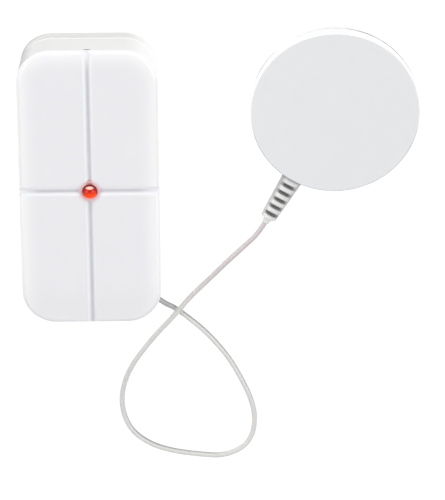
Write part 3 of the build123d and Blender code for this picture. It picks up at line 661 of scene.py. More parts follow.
@dataclass(frozen=True)
class SlottedPvc(SoftPvc):
    """The strain relief's PVC: pale worn ribs, painted shade in the slots and on the sides, and a painted
    shadow where it leaves the cap.
    """

    # The dark slots between pale ribs are what the eye knows a strain relief by.
    # Painted shade in the slots.
    painted_shade_colour: str = "#686869"
    # Painted shadow of the cap on the root.
    root_shade: str = "#8E8F95"
    root: Spot = (21.6, 20.5)
    # Painted shade on the sides, which turn away from the light.
    side: str = "#BDBDBE"
    centre: Place = ROUND_SENSOR
    along: Place = (-0.5, -0.8660254, 0.0)
    across: Place = (0.8660254, -0.5, 0.0)
    first_slot: float = 22.65
    half_pitch: float = 1.05
    last_rib: float = 32.0

    def paint(self, at: Canvas) -> Socket:
        """Paint shade in the slots and on the sides, and a shadow at the root.

        Args:
            at: The material's canvas.

        Returns:
            The colour's socket.
        """
        offset = at.vector("SUBTRACT", at.place, self.centre)
        along = at.vector("DOT_PRODUCT", offset, self.along)
        aside = at.math("ABSOLUTE", at.vector("DOT_PRODUCT", offset, self.across))
        steps = at.math("PINGPONG", at.math("SUBTRACT", along, self.first_slot), self.half_pitch)
        body = at.band(along, self.first_slot - self.half_pitch, self.last_rib)
        dark = at.product(body, at.eased(steps, 0.84, 0.12), at.eased(aside, 2.2, 1.0))
        edged = at.blended(at.eased(aside, 1.3, 2.4), super().paint(at), self.side)
        return at.blended(dark, at.blended(at.eased(along, *self.root), edged, self.root_shade), self.painted_shade_colour)


@dataclass(frozen=True)
class TintedEpoxy(Finish):
    """The lamp's cast epoxy: clear gloss over a deep red, painted orange and glowing where light leaves it.
    """

    # The orange low on the dome is painted light, for light that enters the far side and gathers low at the
    # near side.
    # The pale oval high on the far side is a painted highlight, and the darker rim is painted shade.
    roughness: float = 0.18
    roughness_swing: float = 0.02
    ior: float = 1.4
    # Painted light: the orange low on the dome.
    bright: str = "#FF5A14"
    # Painted shade at the dome's rim.
    deep: str = "#600E08"
    # Painted highlight: a pale oval high on the dome's far side.
    dome_highlight: str = "#FFD8CE"
    dome_highlight_centre: Place = (0.1, 0.27, 15.22)
    centre: Place = (*LAMP, DOME_CENTRE)
    reach: float = LAMP_RADIUS
    light_way: Place = (0.12, -0.97, -0.1)

    def gathered(self, at: Canvas, low: float, high: float) -> Socket:
        """Ease from the dome's far upper side to its near lower side, in parts of its radius."""
        along = at.vector("DOT_PRODUCT", at.vector("SUBTRACT", at.place, self.centre), self.light_way)
        return at.eased(along, low * self.reach, high * self.reach)

    def rim(self, at: Canvas) -> Socket:
        """Ease from nothing to one over the dome's outermost fifth."""
        return at.eased(at.far(self.centre, (1, 1, 0)), 0.8 * self.reach, 1.02 * self.reach)

    def paint(self, at: Canvas) -> Socket:
        """Paint shade at the rim, light turning the red orange low on the dome, and a highlight high on it.

        Args:
            at: The material's canvas.

        Returns:
            The colour's socket.
        """
        lit = at.blended(self.gathered(at, -0.45, 0.85), super().paint(at), self.bright)
        dark = at.product(self.rim(at), at.ramp(self.gathered(at, 0.1, 0.8), (1.0, 0.35)))
        seen = at.oval(self.dome_highlight_centre, (1.04, 0.46, 1.0), -23.4, (1.2, 0.5))
        return at.blended(seen, at.blended(dark, lit, self.deep), self.dome_highlight)

    def light(self, at: Canvas) -> Socket:
        """Glow most where the gathered light leaves the dome, and least at its rim."""
        share = at.ramp(self.gathered(at, -0.5, 0.9), (0.3 * self.emission_strength, self.emission_strength))
        return at.product(share, at.ramp(self.rim(at), (1.0, 0.4)))


@dataclass(frozen=True)
class Plate(Finish):
    """Bright metal plating over steel or copper, rolled or drawn before it was plated."""

    # Faint draw lines stretch the reflections one way, as on stamped and turned parts.
    metallic: float = 1.0
    roughness: float = 0.28
    roughness_swing: float = 0.08
    mottle_mm: float = 1.6
    draw: Place = (0.15, 3.0, 3.0)
    line_mm: float = 1 / 3
    line_height_mm: float = 0.0015

    def height(self, at: Canvas) -> Layers:
        """Draw the rolling lines under the grain."""
        drawn = at.add("ShaderNodeMapping", {"Scale": self.draw, "Vector": at.place}).outputs[0]
        return [(Canvas(at.tree, drawn).cloud(self.line_mm), self.line_height_mm)] + super().height(at)


@dataclass(frozen=True)
class SolderResist(Finish):
    """Green solder resist over copper tracks, on a glass and epoxy board with its edge bare."""

    # Tracks show as paler raised runs under the glossy green, and the cut edge is straw-coloured.
    roughness: float = 0.3
    coat: float = 0.3
    track: str = "#1C8A4A"
    track_height_mm: float = 0.035
    edge: str = "#B9AE74"
    edge_band: Spot = (4.33, 5.47)
    pitch_mm: float = 1.27
    bands_per_unit: float = 3.2
    copper_from: float = 0.72
    patch_mm: float = 5.5

    def tracks(self, at: Canvas) -> Socket:
        """Lay tracks one way or the other in patches, as a routed board has them.

        Args:
            at: The material's canvas.

        Returns:
            The mask's socket.
        """
        patches = {"distance": "CHEBYCHEV", "Scale": 1 / self.patch_mm, "Randomness": 0.85}
        colour = at.add("ShaderNodeTexVoronoi", {**patches, "Vector": at.place}).outputs["Color"]
        pick = at.add("ShaderNodeSeparateColor", {0: colour})
        # A wave pattern at scale one has about 3.2 bands in a unit.
        scale = 1 / (self.pitch_mm * self.bands_per_unit)
        runs = []
        for direction in ("X", "Y", "DIAGONAL"):
            entries = {"bands_direction": direction, "Scale": scale, "Vector": at.place}
            wave = at.add("ShaderNodeTexWave", entries).outputs["Fac"]
            runs.append(at.math("GREATER_THAN", wave, self.copper_from))
        chosen = runs[0]
        for run, channel, level in ((runs[1], "Red", 0.5), (runs[2], "Green", 0.75)):
            share = at.math("GREATER_THAN", pick.outputs[channel], level)
            chosen = at.add("ShaderNodeMix", {0: share, 2: chosen, 3: run}).outputs[0]
        return chosen

    def paint(self, at: Canvas) -> Socket:
        """Show the tracks on both faces and the laminate along the edge."""
        green = at.blended(self.tracks(at), super().paint(at), self.track)
        return at.blended(at.band(at.axis("Z"), *self.edge_band), green, self.edge)

    def height(self, at: Canvas) -> Layers:
        """Raise the tracks by their copper."""
        return [(self.tracks(at), self.track_height_mm)] + super().height(at)


@dataclass(frozen=True)
class PartlyBare(Finish):
    """A covered part whose metal shows in places."""

    # The bright metal stands out against the dark cover.
    metal: str = "#D2D2CE"

    def bare(self, at: Canvas) -> Socket:
        """Mask the metal. Each part says where its own is."""
        raise NotImplementedError

    def covering(self, at: Canvas) -> Socket:
        """Colour what covers the rest."""
        return super().paint(at)

    def paint(self, at: Canvas) -> Socket:
        """Show the metal through the covering."""
        return at.blended(self.bare(at), self.covering(at), self.metal)

    def plating(self, at: Canvas) -> Socket:
        """Make the bare places metal."""
        return self.bare(at)


@dataclass(frozen=True)
class MouldedEpoxy(PartlyBare):
    """A chip's black moulding compound, with tin-plated legs along both its long sides."""

    # The body is matt and faintly gritty, so the bright legs stand out against it.
    roughness: float = 0.55
    grain_mm: float = 0.12
    grain_height_mm: float = 0.006
    row_y: float = CHIP_ROW
    body_half: float = 1.97

    def bare(self, at: Canvas) -> Socket:
        """Mask the legs, which stand out past the body's sides."""
        return at.math("GREATER_THAN", at.far((0.0, self.row_y, 0.0), (0, 1, 0)), self.body_half)

    def gloss(self, at: Canvas) -> Socket:
        """Leave the body matt and the legs bright."""
        return at.ramp(self.bare(at), (self.roughness, 0.25))


@dataclass(frozen=True)
class ShrinkSleeve(PartlyBare):
    """The cell's printed shrink sleeve over nickel-plated steel, which shows at both ends."""

    # A glossy dark sleeve with a warm band at its plus end, and bare bright metal inside its curl.
    metal: str = "#C9C8C2"
    roughness: float = 0.22
    coat: float = 0.4
    band: str = "#B8862E"
    band_span: Spot = (17.6, 26.0)
    line: str = "#E8E4D8"
    line_width: float = 0.4
    line_starts: Spot = (16.6, -0.4)
    axis_at: Place = (CELL[0], 0.0, CELL[1])
    bare_radius: float = 4.45

    def bare(self, at: Canvas) -> Socket:
        """Mask the metal inside the sleeve's curled ends."""
        return at.math("LESS_THAN", at.far(self.axis_at, (1, 0, 1)), self.bare_radius)

    def covering(self, at: Canvas) -> Socket:
        """Print the band and its edge lines.

        Args:
            at: The material's canvas.

        Returns:
            The colour's socket.
        """
        along = at.axis("Y")
        sleeve = at.blended(at.band(along, *self.band_span), super().covering(at), self.band)
        for start in self.line_starts:
            sleeve = at.blended(at.band(along, start, start + self.line_width), sleeve, self.line)
        return sleeve


@dataclass(frozen=True)
class CanSleeve(PartlyBare):
    """An electrolytic capacitor: a sleeve with a minus stripe, and the bare can on its top."""

    # The pale stripe and the bright scored top are what the eye knows it by.
    metal: str = "#D5D5D2"
    roughness: float = 0.3
    coat: float = 0.2
    stripe: str = "#B9BEC8"
    stripe_half: float = 0.75
    axis_at: Place = (*CAPACITOR, 0.0)
    top_from: float = 11.72
    can_radius: float = 2.12

    def bare(self, at: Canvas) -> Socket:
        """Mask the can's bare top."""
        near = at.math("LESS_THAN", at.far(self.axis_at, (1, 1, 0)), self.can_radius)
        return at.product(near, at.math("GREATER_THAN", at.axis("Z"), self.top_from))

    def covering(self, at: Canvas) -> Socket:
        """Print the stripe down the left side.

        Args:
            at: The material's canvas.

        Returns:
            The colour's socket.
        """
        x, y, _ = self.axis_at
        side = at.band(at.axis("Y"), y - self.stripe_half, y + self.stripe_half)
        left = at.math("LESS_THAN", at.axis("X"), x)
        return at.blended(at.product(side, left), super().covering(at), self.stripe)


@dataclass(frozen=True)
class ClosedCellFoam(Finish):
    """Adhesive foam tape: pale closed cells along its edge and a waxed paper liner on its back."""

    # The cells give the edge a fine pitted look, and the liner is smooth and slightly yellow.
    roughness: float = 0.8
    cell_mm: float = 0.22
    cell_depth_mm: float = 0.05
    liner: str = "#EADFB8"
    liner_top: float = 0.06

    def lined(self, at: Canvas) -> Socket:
        """Mask the liner, the lowest skin."""
        return at.math("LESS_THAN", at.axis("Z"), self.liner_top)

    def paint(self, at: Canvas) -> Socket:
        """Show the liner under the foam."""
        return at.blended(self.lined(at), super().paint(at), self.liner)

    def gloss(self, at: Canvas) -> Socket:
        """Wax the liner."""
        return at.ramp(self.lined(at), (self.roughness, 0.35))

    def height(self, at: Canvas) -> Layers:
        """Pit the foam with its cells."""
        foam = at.math("SUBTRACT", 1.0, self.lined(at))
        return [(at.product(at.cells(self.cell_mm), foam), self.cell_depth_mm)]


@dataclass(frozen=True)
class FiredSilver(Finish):
    """The piezo disc's fired ceramic under a brushed-on silver electrode."""

    # Tiny dark pores and a satin silver-white skin.
    roughness: float = 0.5
    pore: str = "#8E8A80"
    pore_mm: float = 0.5
    pore_reach: float = 0.12

    def paint(self, at: Canvas) -> Socket:
        """Prick the skin with pores."""
        pores = at.math("LESS_THAN", at.cells(self.pore_mm), self.pore_reach)
        return at.blended(pores, super().paint(at), self.pore)


def bevelled(shape: Mesh, edges: list[bmesh.types.BMEdge], radius: float) -> None:
    """Round edges of a mesh.

    Args:
        shape: The mesh, in mm.
        edges: The edges.
        radius: The radius of the rounding.
    """
    bmesh.ops.bevel(
        shape,
        geom=edges,
        offset=radius,
        offset_type="OFFSET",
        segments=2,
        profile=0.5,
        affect="EDGES",
        clamp_overlap=True,
        material=-1,
    )


def block(shape: Mesh, centre: Place, size: Size, rounding: float = 0.0) -> None:
    """Add a block with rounded edges.

    Args:
        shape: The mesh that is being made, in mm.
        centre: The block's middle.
        size: Its whole width, length and height.
        rounding: The radius of its edges.
    """
    matrix = Matrix.Translation(centre) @ Matrix.Diagonal((*size, 1.0))
    made = bmesh.ops.create_cube(shape, size=1.0, matrix=matrix)
    if rounding:
        bevelled(shape, list({edge for vert in made["verts"] for edge in vert.link_edges}), rounding)


def turned(
    shape: Mesh, profile: Profile, centre: Place, axis: Axis = Axis.Z, steps: int = 40, closed: bool = False
) -> None:
    """Spin a profile about a centre line.

    Args:
        shape: The mesh that is being made, in mm.
        profile: Radii and heights along the centre line.
        centre: Where the centre line starts.
        axis: Which way it runs.
        steps: How many sides the turned piece has.
        closed: Whether the profile's end meets its start, as a ring's does.
    """
    along, side = (Vector(way) for way in axis.value)
    verts = [shape.verts.new(Vector(centre) + side * radius + along * height) for radius, height in profile]
    pairs = list(zip(verts, verts[1:])) + ([(verts[-1], verts[0])] if closed else [])
    edges = [shape.edges.new(pair) for pair in pairs]
    bmesh.ops.spin(
        shape, geom=verts + edges, cent=centre, axis=along, angle=2 * pi, steps=steps, use_merge=True
    )


def rod(radius: float, low: float, high: float) -> Profile:
    """Give the profile of a plain round rod."""
    return [(0.0, low), (radius, low), (radius, high), (0.0, high)]


def rounded(radius: float, low: float, high: float, edge: float) -> Profile:
    """Give the profile of a disc with a rounded upper edge.

    Args:
        radius: The disc's radius.
        low: Its lower level.
        high: Its upper level.
        edge: The radius of the upper edge.

    Returns:
        Radii and heights from the middle of the lower face to the middle of the upper one.
    """
    turns = [radians(angle) for angle in (0, 30, 60, 90)]
    upper = [(radius - edge + edge * cos(turn), high - edge + edge * sin(turn)) for turn in turns]
    return [(0.0, low), (radius, low), *upper, (0.0, high)]


def ring(shape: Mesh, centre: Place, radius: float, width: float, rise: float) -> None:
    """Add a flat ring with a crowned top.

    Args:
        shape: The mesh that is being made, in mm.
        centre: The middle of the ring's lower face.
        radius: Its inner radius.
        width: Its width.
        rise: Its height.
    """
    corners = ((0.0, 0.0), (1.0, 0.0), (0.8, rise), (0.2, rise))
    profile = [(radius + share * width, level) for share, level in corners]
    turned(shape, profile, centre, steps=28, closed=True)


def bead(shape: Mesh, centre: Place, size: Size) -> None:
    """Add a small oval bead, a few faces only because there are many.

    Args:
        shape: The mesh that is being made, in mm.
        centre: The bead's middle.
        size: Its half width, half length and half height.
    """
    matrix = Matrix.Translation(centre) @ Matrix.Diagonal((*size, 1.0))
    bmesh.ops.create_icosphere(shape, subdivisions=2, radius=1.0, matrix=matrix)


def blades(shape: Mesh, recess: Recess, centre: Place, size: Size) -> None:
    """Add the tapered blades that cut a screw's recess.

    Args:
        shape: The cutter that is being made, in mm.
        recess: The kind of recess.
        centre: The middle of the head's top.
        size: A blade's length, thickness and depth.
    """
    length, thickness, depth = size
    for turn in range(recess.value):
        spread = Matrix.Rotation(radians(45 + 90 * turn), 4, "Z")
        matrix = Matrix.Translation(centre) @ spread @ Matrix.Diagonal((length, thickness, 2 * depth, 1.0))
        made = bmesh.ops.create_cube(shape, size=1.0, matrix=matrix)
        low = [vert for vert in made["verts"] if vert.co.z < centre[2]]
        bmesh.ops.scale(shape, vec=(0.72, 0.72, 1.0), space=Matrix.Translation(-Vector(centre)), verts=low)


def linked(name: str, data: bpy.types.ID | None) -> bpy.types.Object:
    """Put an object with this data into the scene.

    Args:
        name: The object's name.
        data: Its mesh, curve, camera or light.

    Returns:
        The object.
    """
    thing = bpy.data.objects.new(name, data)
    bpy.context.scene.collection.objects.link(thing)
    return thing


def applied(thing: bpy.types.Object) -> Mesh:
    """Copy an object's mesh as its modifiers leave it.

    Args:
        thing: The object.

    Returns:
        The copy.
    """
    shape = bmesh.new()
    depsgraph = bpy.context.evaluated_depsgraph_get()
    shape.from_mesh(bpy.data.meshes.new_from_object(thing.evaluated_get(depsgraph)))
    return shape


def carved(shape: Mesh, cutter: Mesh) -> Mesh:
    """Cut one shape out of another.

    Args:
        shape: The mesh that is being made, in mm. It is used up.
        cutter: The mesh that is cut away. It is used up.

    Returns:
        What is left.
    """
    pair = []
    for name, part in (("blank", shape), ("cutter", cutter)):
        bmesh.ops.remove_doubles(part, verts=part.verts, dist=SAME_POINT)
        bmesh.ops.recalc_face_normals(part, faces=part.faces)
        mesh = bpy.data.meshes.new(name)
        part.to_mesh(mesh)
        part.free()
        pair.append(linked(name, mesh))
    cut = pair[0].modifiers.new("cut", "BOOLEAN")
    cut.operation = "DIFFERENCE"
    cut.solver = "EXACT"
    cut.use_self = True
    cut.object = pair[1]
    left = applied(pair[0])
    for blank in pair:
        bpy.data.objects.remove(blank)
    return left


def smooth_path(
    name: str, points: tuple[Place, ...], radius: float, unit: float, steps: int
) -> bpy.types.Curve:
    """Draw a smooth round path through the bends of a wire.

    Args:
        name: The curve's name.
        points: The wire's control points, in mm.
        radius: Its radius, in mm.
        unit: What one mm becomes.
        steps: How finely each stretch is drawn.

    Returns:
        The curve.
    """
    data = bpy.data.curves.new(name, "CURVE")
    data.dimensions = "3D"
    data.resolution_u = steps
    data.bevel_depth = 1.0
    data.bevel_resolution = 4
    data.use_fill_caps = True
    spline = data.splines.new("NURBS")
    spline.points.add(len(points) - 1)
    for point, spot in zip(spline.points, points):
        point.co = (*(value * unit for value in spot), 1.0)
        point.radius = radius * unit
    spline.order_u = 3
    spline.use_endpoint_u = True
    return data


@dataclass
class Workbench:
    """Where pieces are made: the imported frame, the materials, and what every piece goes through."""

    frame: dict[str, Any]
    materials: dict[str, bpy.types.Material]
    flat_deg: float = 0.5
    sharp_deg: float = 50.0
    made: int = 0

    def slot_of(self, node: str) -> str:
        """Look up the material slot that the record gives a node."""
        return {row["node"]: row["material_slot"] for row in self.frame["record"]["subparts"]}[node]

    def node_shape(self, node: str, flatten: bool = False) -> Mesh:
        """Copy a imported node's mesh into one whose triangles are joined, in mm.

        Args:
            node: The node's name.
            flatten: Whether triangles that lie in one plane become one face.

        Returns:
            The copy.
        """
        shape = bmesh.new()
        shape.from_mesh(self.frame["nodes"][node].data)
        bmesh.ops.scale(shape, vec=(1 / MM,) * 3, verts=shape.verts)
        bmesh.ops.remove_doubles(shape, verts=shape.verts, dist=SAME_POINT)
        if flatten:
            bmesh.ops.dissolve_limit(
                shape,
                angle_limit=radians(self.flat_deg),
                verts=shape.verts,
                edges=shape.edges,
                use_dissolve_boundaries=False,
            )
        return shape

    def place(
        self,
        name: str,
        shape: Mesh,
        slot: str,
        finish: str = "",
        stands_for: str = "",
        body: Body = Body.HOUSING,
        crease_deg: float = 33.0,
        turn_out: bool = True,
    ) -> None:
        """Turn a finished shape into a piece of the object.

        Args:
            name: The piece's name.
            shape: Its mesh, in mm. It is used up.
            slot: The record's material slot.
            finish: Its finish, where that isn't the slot's own.
            stands_for: The node that it replaces.
            body: The body that it rides on.
            crease_deg: The angle past which an edge stays crisp.
            turn_out: Whether its faces are turned to point outwards.
        """
        bmesh.ops.remove_doubles(shape, verts=shape.verts, dist=SAME_POINT)
        if turn_out:
            bmesh.ops.recalc_face_normals(shape, faces=shape.faces)
        bmesh.ops.scale(shape, vec=(MM,) * 3, verts=shape.verts)
        for face in shape.faces:
            face.smooth = True
        for edge in shape.edges:
            edge.smooth = edge.is_manifold and edge.calc_face_angle(0) < radians(crease_deg)
        mesh = bpy.data.meshes.new(name)
        shape.to_mesh(mesh)
        shape.free()
        mesh.materials.append(self.materials[finish or slot])
        piece = linked(name, mesh)
        even = piece.modifiers.new("even_shading", "WEIGHTED_NORMAL")
        even.keep_sharp = True
        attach(piece, body.value)
        if stands_for:
            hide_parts(stands_for)
        self.made += 1
        log.info("%s rides on %s", name, body.value)

    def solder(self, name: str, shape: Mesh) -> None:
        """Place tinned metal: solder joints, legs and end caps."""
        self.place(name, shape, "lead_wire", "tin_solder")

    def dress(self, *nodes: str) -> None:
        """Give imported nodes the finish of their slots.

        Args:
            nodes: The nodes' names.
        """
        for node in nodes:
            data = self.frame["nodes"][node].data
            data.materials.clear()
            data.materials.append(self.materials[self.slot_of(node)])

    def polish(
        self, *nodes: str, body: Body = Body.HOUSING, rounding: float = 0.0, crease_deg: float = 33.0
    ) -> None:
        """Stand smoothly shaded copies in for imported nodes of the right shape.

        Args:
            nodes: The nodes' names.
            body: The body that they ride on.
            rounding: The radius of their rounded edges, or zero where they stay as packed.
            crease_deg: The angle past which an edge stays crisp.
        """
        for node in nodes:
            shape = self.node_shape(node, flatten=rounding > 0)
            if rounding:
                manifold = [edge for edge in shape.edges if edge.is_manifold]
                sharp = [edge for edge in manifold if edge.calc_face_angle(0) > radians(self.sharp_deg)]
                bevelled(shape, sharp, rounding)
            self.place(
                f"{node}_skin",
                shape,
                self.slot_of(node),
                stands_for=node,
                body=body,
                crease_deg=crease_deg,
                turn_out=False,
            )


@dataclass(frozen=True)
class CameraRig:
    """The photograph's camera: its tilt towards the housing's top, its roll, place and lens."""

    target: Place = (0.031998, -0.022766, 0.0003)
    distance: float = 0.98714
    tilt_deg: float = 23.359
    roll_deg: float = 0.561
    lens_mm: float = 287.8
    sensor_mm: float = 36.0
    reach: float = 20.0

    def build(self) -> None:
        """Make the camera and look through it."""
        tilt = radians(self.tilt_deg)
        roll = radians(self.roll_deg)
        back = Vector((0, sin(tilt), cos(tilt)))
        upward = Vector((0, cos(tilt), -sin(tilt)))
        sideways = Vector((1, 0, 0))
        right = sideways * cos(roll) - upward * sin(roll)
        up = sideways * sin(roll) + upward * cos(roll)
        data = bpy.data.cameras.new("camera")
        data.sensor_fit = "VERTICAL"
        data.sensor_height = self.sensor_mm
        data.lens = self.lens_mm
        data.clip_end = self.reach
        camera = linked("camera", data)
        place = Vector(self.target) + back * self.distance
        camera.matrix_world = Matrix.Translation(place) @ Matrix((right, up, back)).transposed().to_4x4()
        bpy.context.scene.camera = camera


@dataclass(frozen=True)
class SoftBox:
    """One soft light: where it hangs, how wide and high it is and how bright its face is."""

    name: str
    place: Place
    width: float
    height: float
    radiance: float
    aim: Place = (0.03, -0.02, 0.0)

    def build(self) -> None:
        """Hang the light so that it faces the object."""
        data = bpy.data.lights.new(self.name, "AREA")
        data.shape = "RECTANGLE"
        data.size = self.width
        data.size_y = self.height
        data.energy = self.radiance * pi * self.width * self.height
        way = Vector(self.aim) - Vector(self.place)
        turn = way.to_track_quat("-Z", "Y").to_matrix().to_4x4()
        linked(self.name, data).matrix_world = Matrix.Translation(self.place) @ turn


@dataclass(frozen=True)
class Studio:
    """A white paper floor in a pale room, with soft boxes high up and at the back and sides."""

    floor_size: float = 6.0
    floor_colour: str = "#6C6C6C"
    floor_roughness: float = 0.9
    floor_glow: float = 0.93
    light_colour: str = "#FFFFFF"
    room_light: float = 0.30
    boxes: tuple[SoftBox, ...] = (
        SoftBox("back_box", (0.05, 1.12, 0.50), 1.00, 0.26, 5.5),
        SoftBox("right_box", (0.94, 0.05, 0.92), 0.60, 0.60, 5.4),
        SoftBox("left_box", (-0.88, 0.05, 0.92), 0.60, 0.60, 4.6),
        SoftBox("top_box", (0.0, -0.65, 1.5), 1.20, 1.00, 0.80),
    )

    def build(self) -> None:
        """Make the floor, the room's light and the soft boxes."""
        mesh = bpy.data.meshes.new("floor")
        shape = bmesh.new()
        bmesh.ops.create_grid(shape, x_segments=1, y_segments=1, size=self.floor_size / 2)
        shape.to_mesh(mesh)
        shape.free()
        floor = linked("floor", mesh)
        material = bpy.data.materials.new("floor_paper")
        material.use_nodes = True
        mesh.materials.append(material)
        world = bpy.data.worlds.new("room")
        world.use_nodes = True
        bpy.context.scene.world = world
        paper = {
            "Base Color": linear(self.floor_colour),
            "Roughness": self.floor_roughness,
            "Specular IOR Level": 0.0,
            "Emission Color": linear(self.light_colour),
            "Emission Strength": self.floor_glow,
        }
        room = {"Color": linear(self.light_colour), "Strength": self.room_light}
        for tree, name, entries in (
            (material.node_tree, "Principled BSDF", paper),
            (world.node_tree, "Background", room),
        ):
            for entry, value in entries.items():
                tree.nodes[name].inputs[entry].default_value = value
        for box in self.boxes:
            box.build()


@dataclass
class Cable:
    """The thin cable from the housing's corner, round its loop and over itself, to the strain relief."""

    radius: float = 0.65
    steps: int = 12
    route: tuple[Place, ...] = (
        (14.4, -32.8, 3.3), (16.9, -35.3, 3.3), (20.2, -38.0, 0.9), (23.3, -40.76, 0.65),
        (26.71, -43.75, 0.65), (30.06, -47.51, 0.65), (33.6, -52.3, 0.65), (36.41, -57.74, 0.65),
        (38.94, -63.48, 0.65), (39.99, -69.84, 0.65), (38.07, -76.0, 0.65), (32.11, -79.19, 0.65),
        (25.63, -78.63, 0.65), (19.38, -77.7, 0.65), (13.49, -75.77, 0.65), (8.39, -71.67, 0.65),
        (6.26, -65.46, 0.65), (6.76, -59.13, 0.65), (9.17, -53.51, 0.65), (12.73, -48.48, 0.65),
        (16.39, -43.59, 1.5), (20.14, -38.84, 3.1), (23.91, -34.03, 3.0), (28.57, -29.67, 2.4),
        (32.68, -25.5, 2.2), (37.38, -20.79, 2.5), (40.8, -17.15, 3.3), (42.6, -14.04, 3.3),
    )
    length: float = 0.1546

    def build(self, bench: Workbench) -> None:
        """Args:
            bench: Where pieces are made.
        """
        data = smooth_path("cable_run", self.route, self.radius, MM, self.steps)
        data.materials.append(bench.materials["cable_jacket"])
        cable = linked("cable_run", data)
        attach(cable, "housing")
        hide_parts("cable")


@dataclass
class Housing:
    """The cover and the base, the pad behind them, and the marks that their moulds leave inside."""

    cover_notch: Place = (0.1, 35.45, 13.7)
    notch_size: Size = (1.05, 0.26, 0.4)
    pin_line: float = 0.12
    pin_height: float = 0.1
    cover_pin_radius: float = 1.6
    cover_pin_level: float = 13.46
    cover_pins: tuple[Spot, ...] = ((-10.5, -26.0), (10.5, -26.0), (-10.5, 28.5), (9.5, 29.0), (10.8, -8.5))
    base_pin_radius: float = 1.3
    base_pin_level: float = 2.24
    base_pins: tuple[Spot, ...] = ((-11.8, -28.4), (12.6, 29.0), (-5.0, 29.6), (0.0, -26.4))

    def build(self, bench: Workbench) -> None:
        """Skin both halves and add the marks inside.

        Args:
            bench: Where pieces are made.
        """
        notch = bmesh.new()
        bead(notch, self.cover_notch, self.notch_size)
        cover = carved(bench.node_shape("front_cover"), notch)
        bench.place("front_cover_skin", cover, "cover_plastic", stands_for="front_cover", body=Body.COVER)
        bench.polish("rear_base", "mounting_pad")
        for half, body, pins, level, radius in (
            ("cover", Body.COVER, self.cover_pins, self.cover_pin_level, self.cover_pin_radius),
            ("base", Body.HOUSING, self.base_pins, self.base_pin_level, self.base_pin_radius),
        ):
            marks = bmesh.new()
            for x, y in pins:
                ring(marks, (x, y, level), radius, self.pin_line, self.pin_height)
            bench.place(f"{half}_ejector_marks", marks, f"{half}_plastic", body=body)


@dataclass
class Lamp:
    """The red lamp: its resin body with a flange, its spacer and its leads with their joints."""

    x: float = LAMP[0]
    y: float = LAMP[1]
    radius: float = LAMP_RADIUS
    flange_radius: float = 2.1
    base: float = 11.2
    flange: float = 1.0
    edge: float = 0.1
    dome_centre: float = DOME_CENTRE
    dome_height: float = 1.25
    lead_spread: float = 1.27
    board_top: float = BOARD_TOP

    def build(self, bench: Workbench) -> None:
        """Turn the resin body and set the parts below it.

        Args:
            bench: Where pieces are made.
        """
        turns = [radians(angle) for angle in range(0, 90, 9)]
        profile = [
            (0.0, self.base),
            (self.flange_radius - self.edge, self.base),
            (self.flange_radius, self.base + self.edge),
            (self.flange_radius, self.base + self.flange - self.edge),
            (self.flange_radius - self.edge, self.base + self.flange),
            (self.radius, self.base + self.flange),
            *((self.radius * cos(turn), self.dome_centre + self.dome_height * sin(turn)) for turn in turns),
            (0.0, self.dome_centre + self.dome_height),
        ]
        resin = bmesh.new()
        turned(resin, profile, (self.x, self.y, 0.0), steps=56)
        bench.place("lamp_resin", resin, "lamp_red", stands_for="indicator_lamp")
        bench.polish("lamp_spacer")
        bench.dress("lamp_leads")
        joints = bmesh.new()
        joint = [(0.0, 0.0), (0.85, 0.0), (0.85, 0.04), (0.5, 0.16), (0.3, 0.5), (0.25, 0.55), (0.0, 0.55)]
        for side in (-1, 1):
            turned(joints, joint, (self.x + side * self.lead_spread, self.y, self.board_top), steps=20)
        bench.solder("lamp_solder", joints)


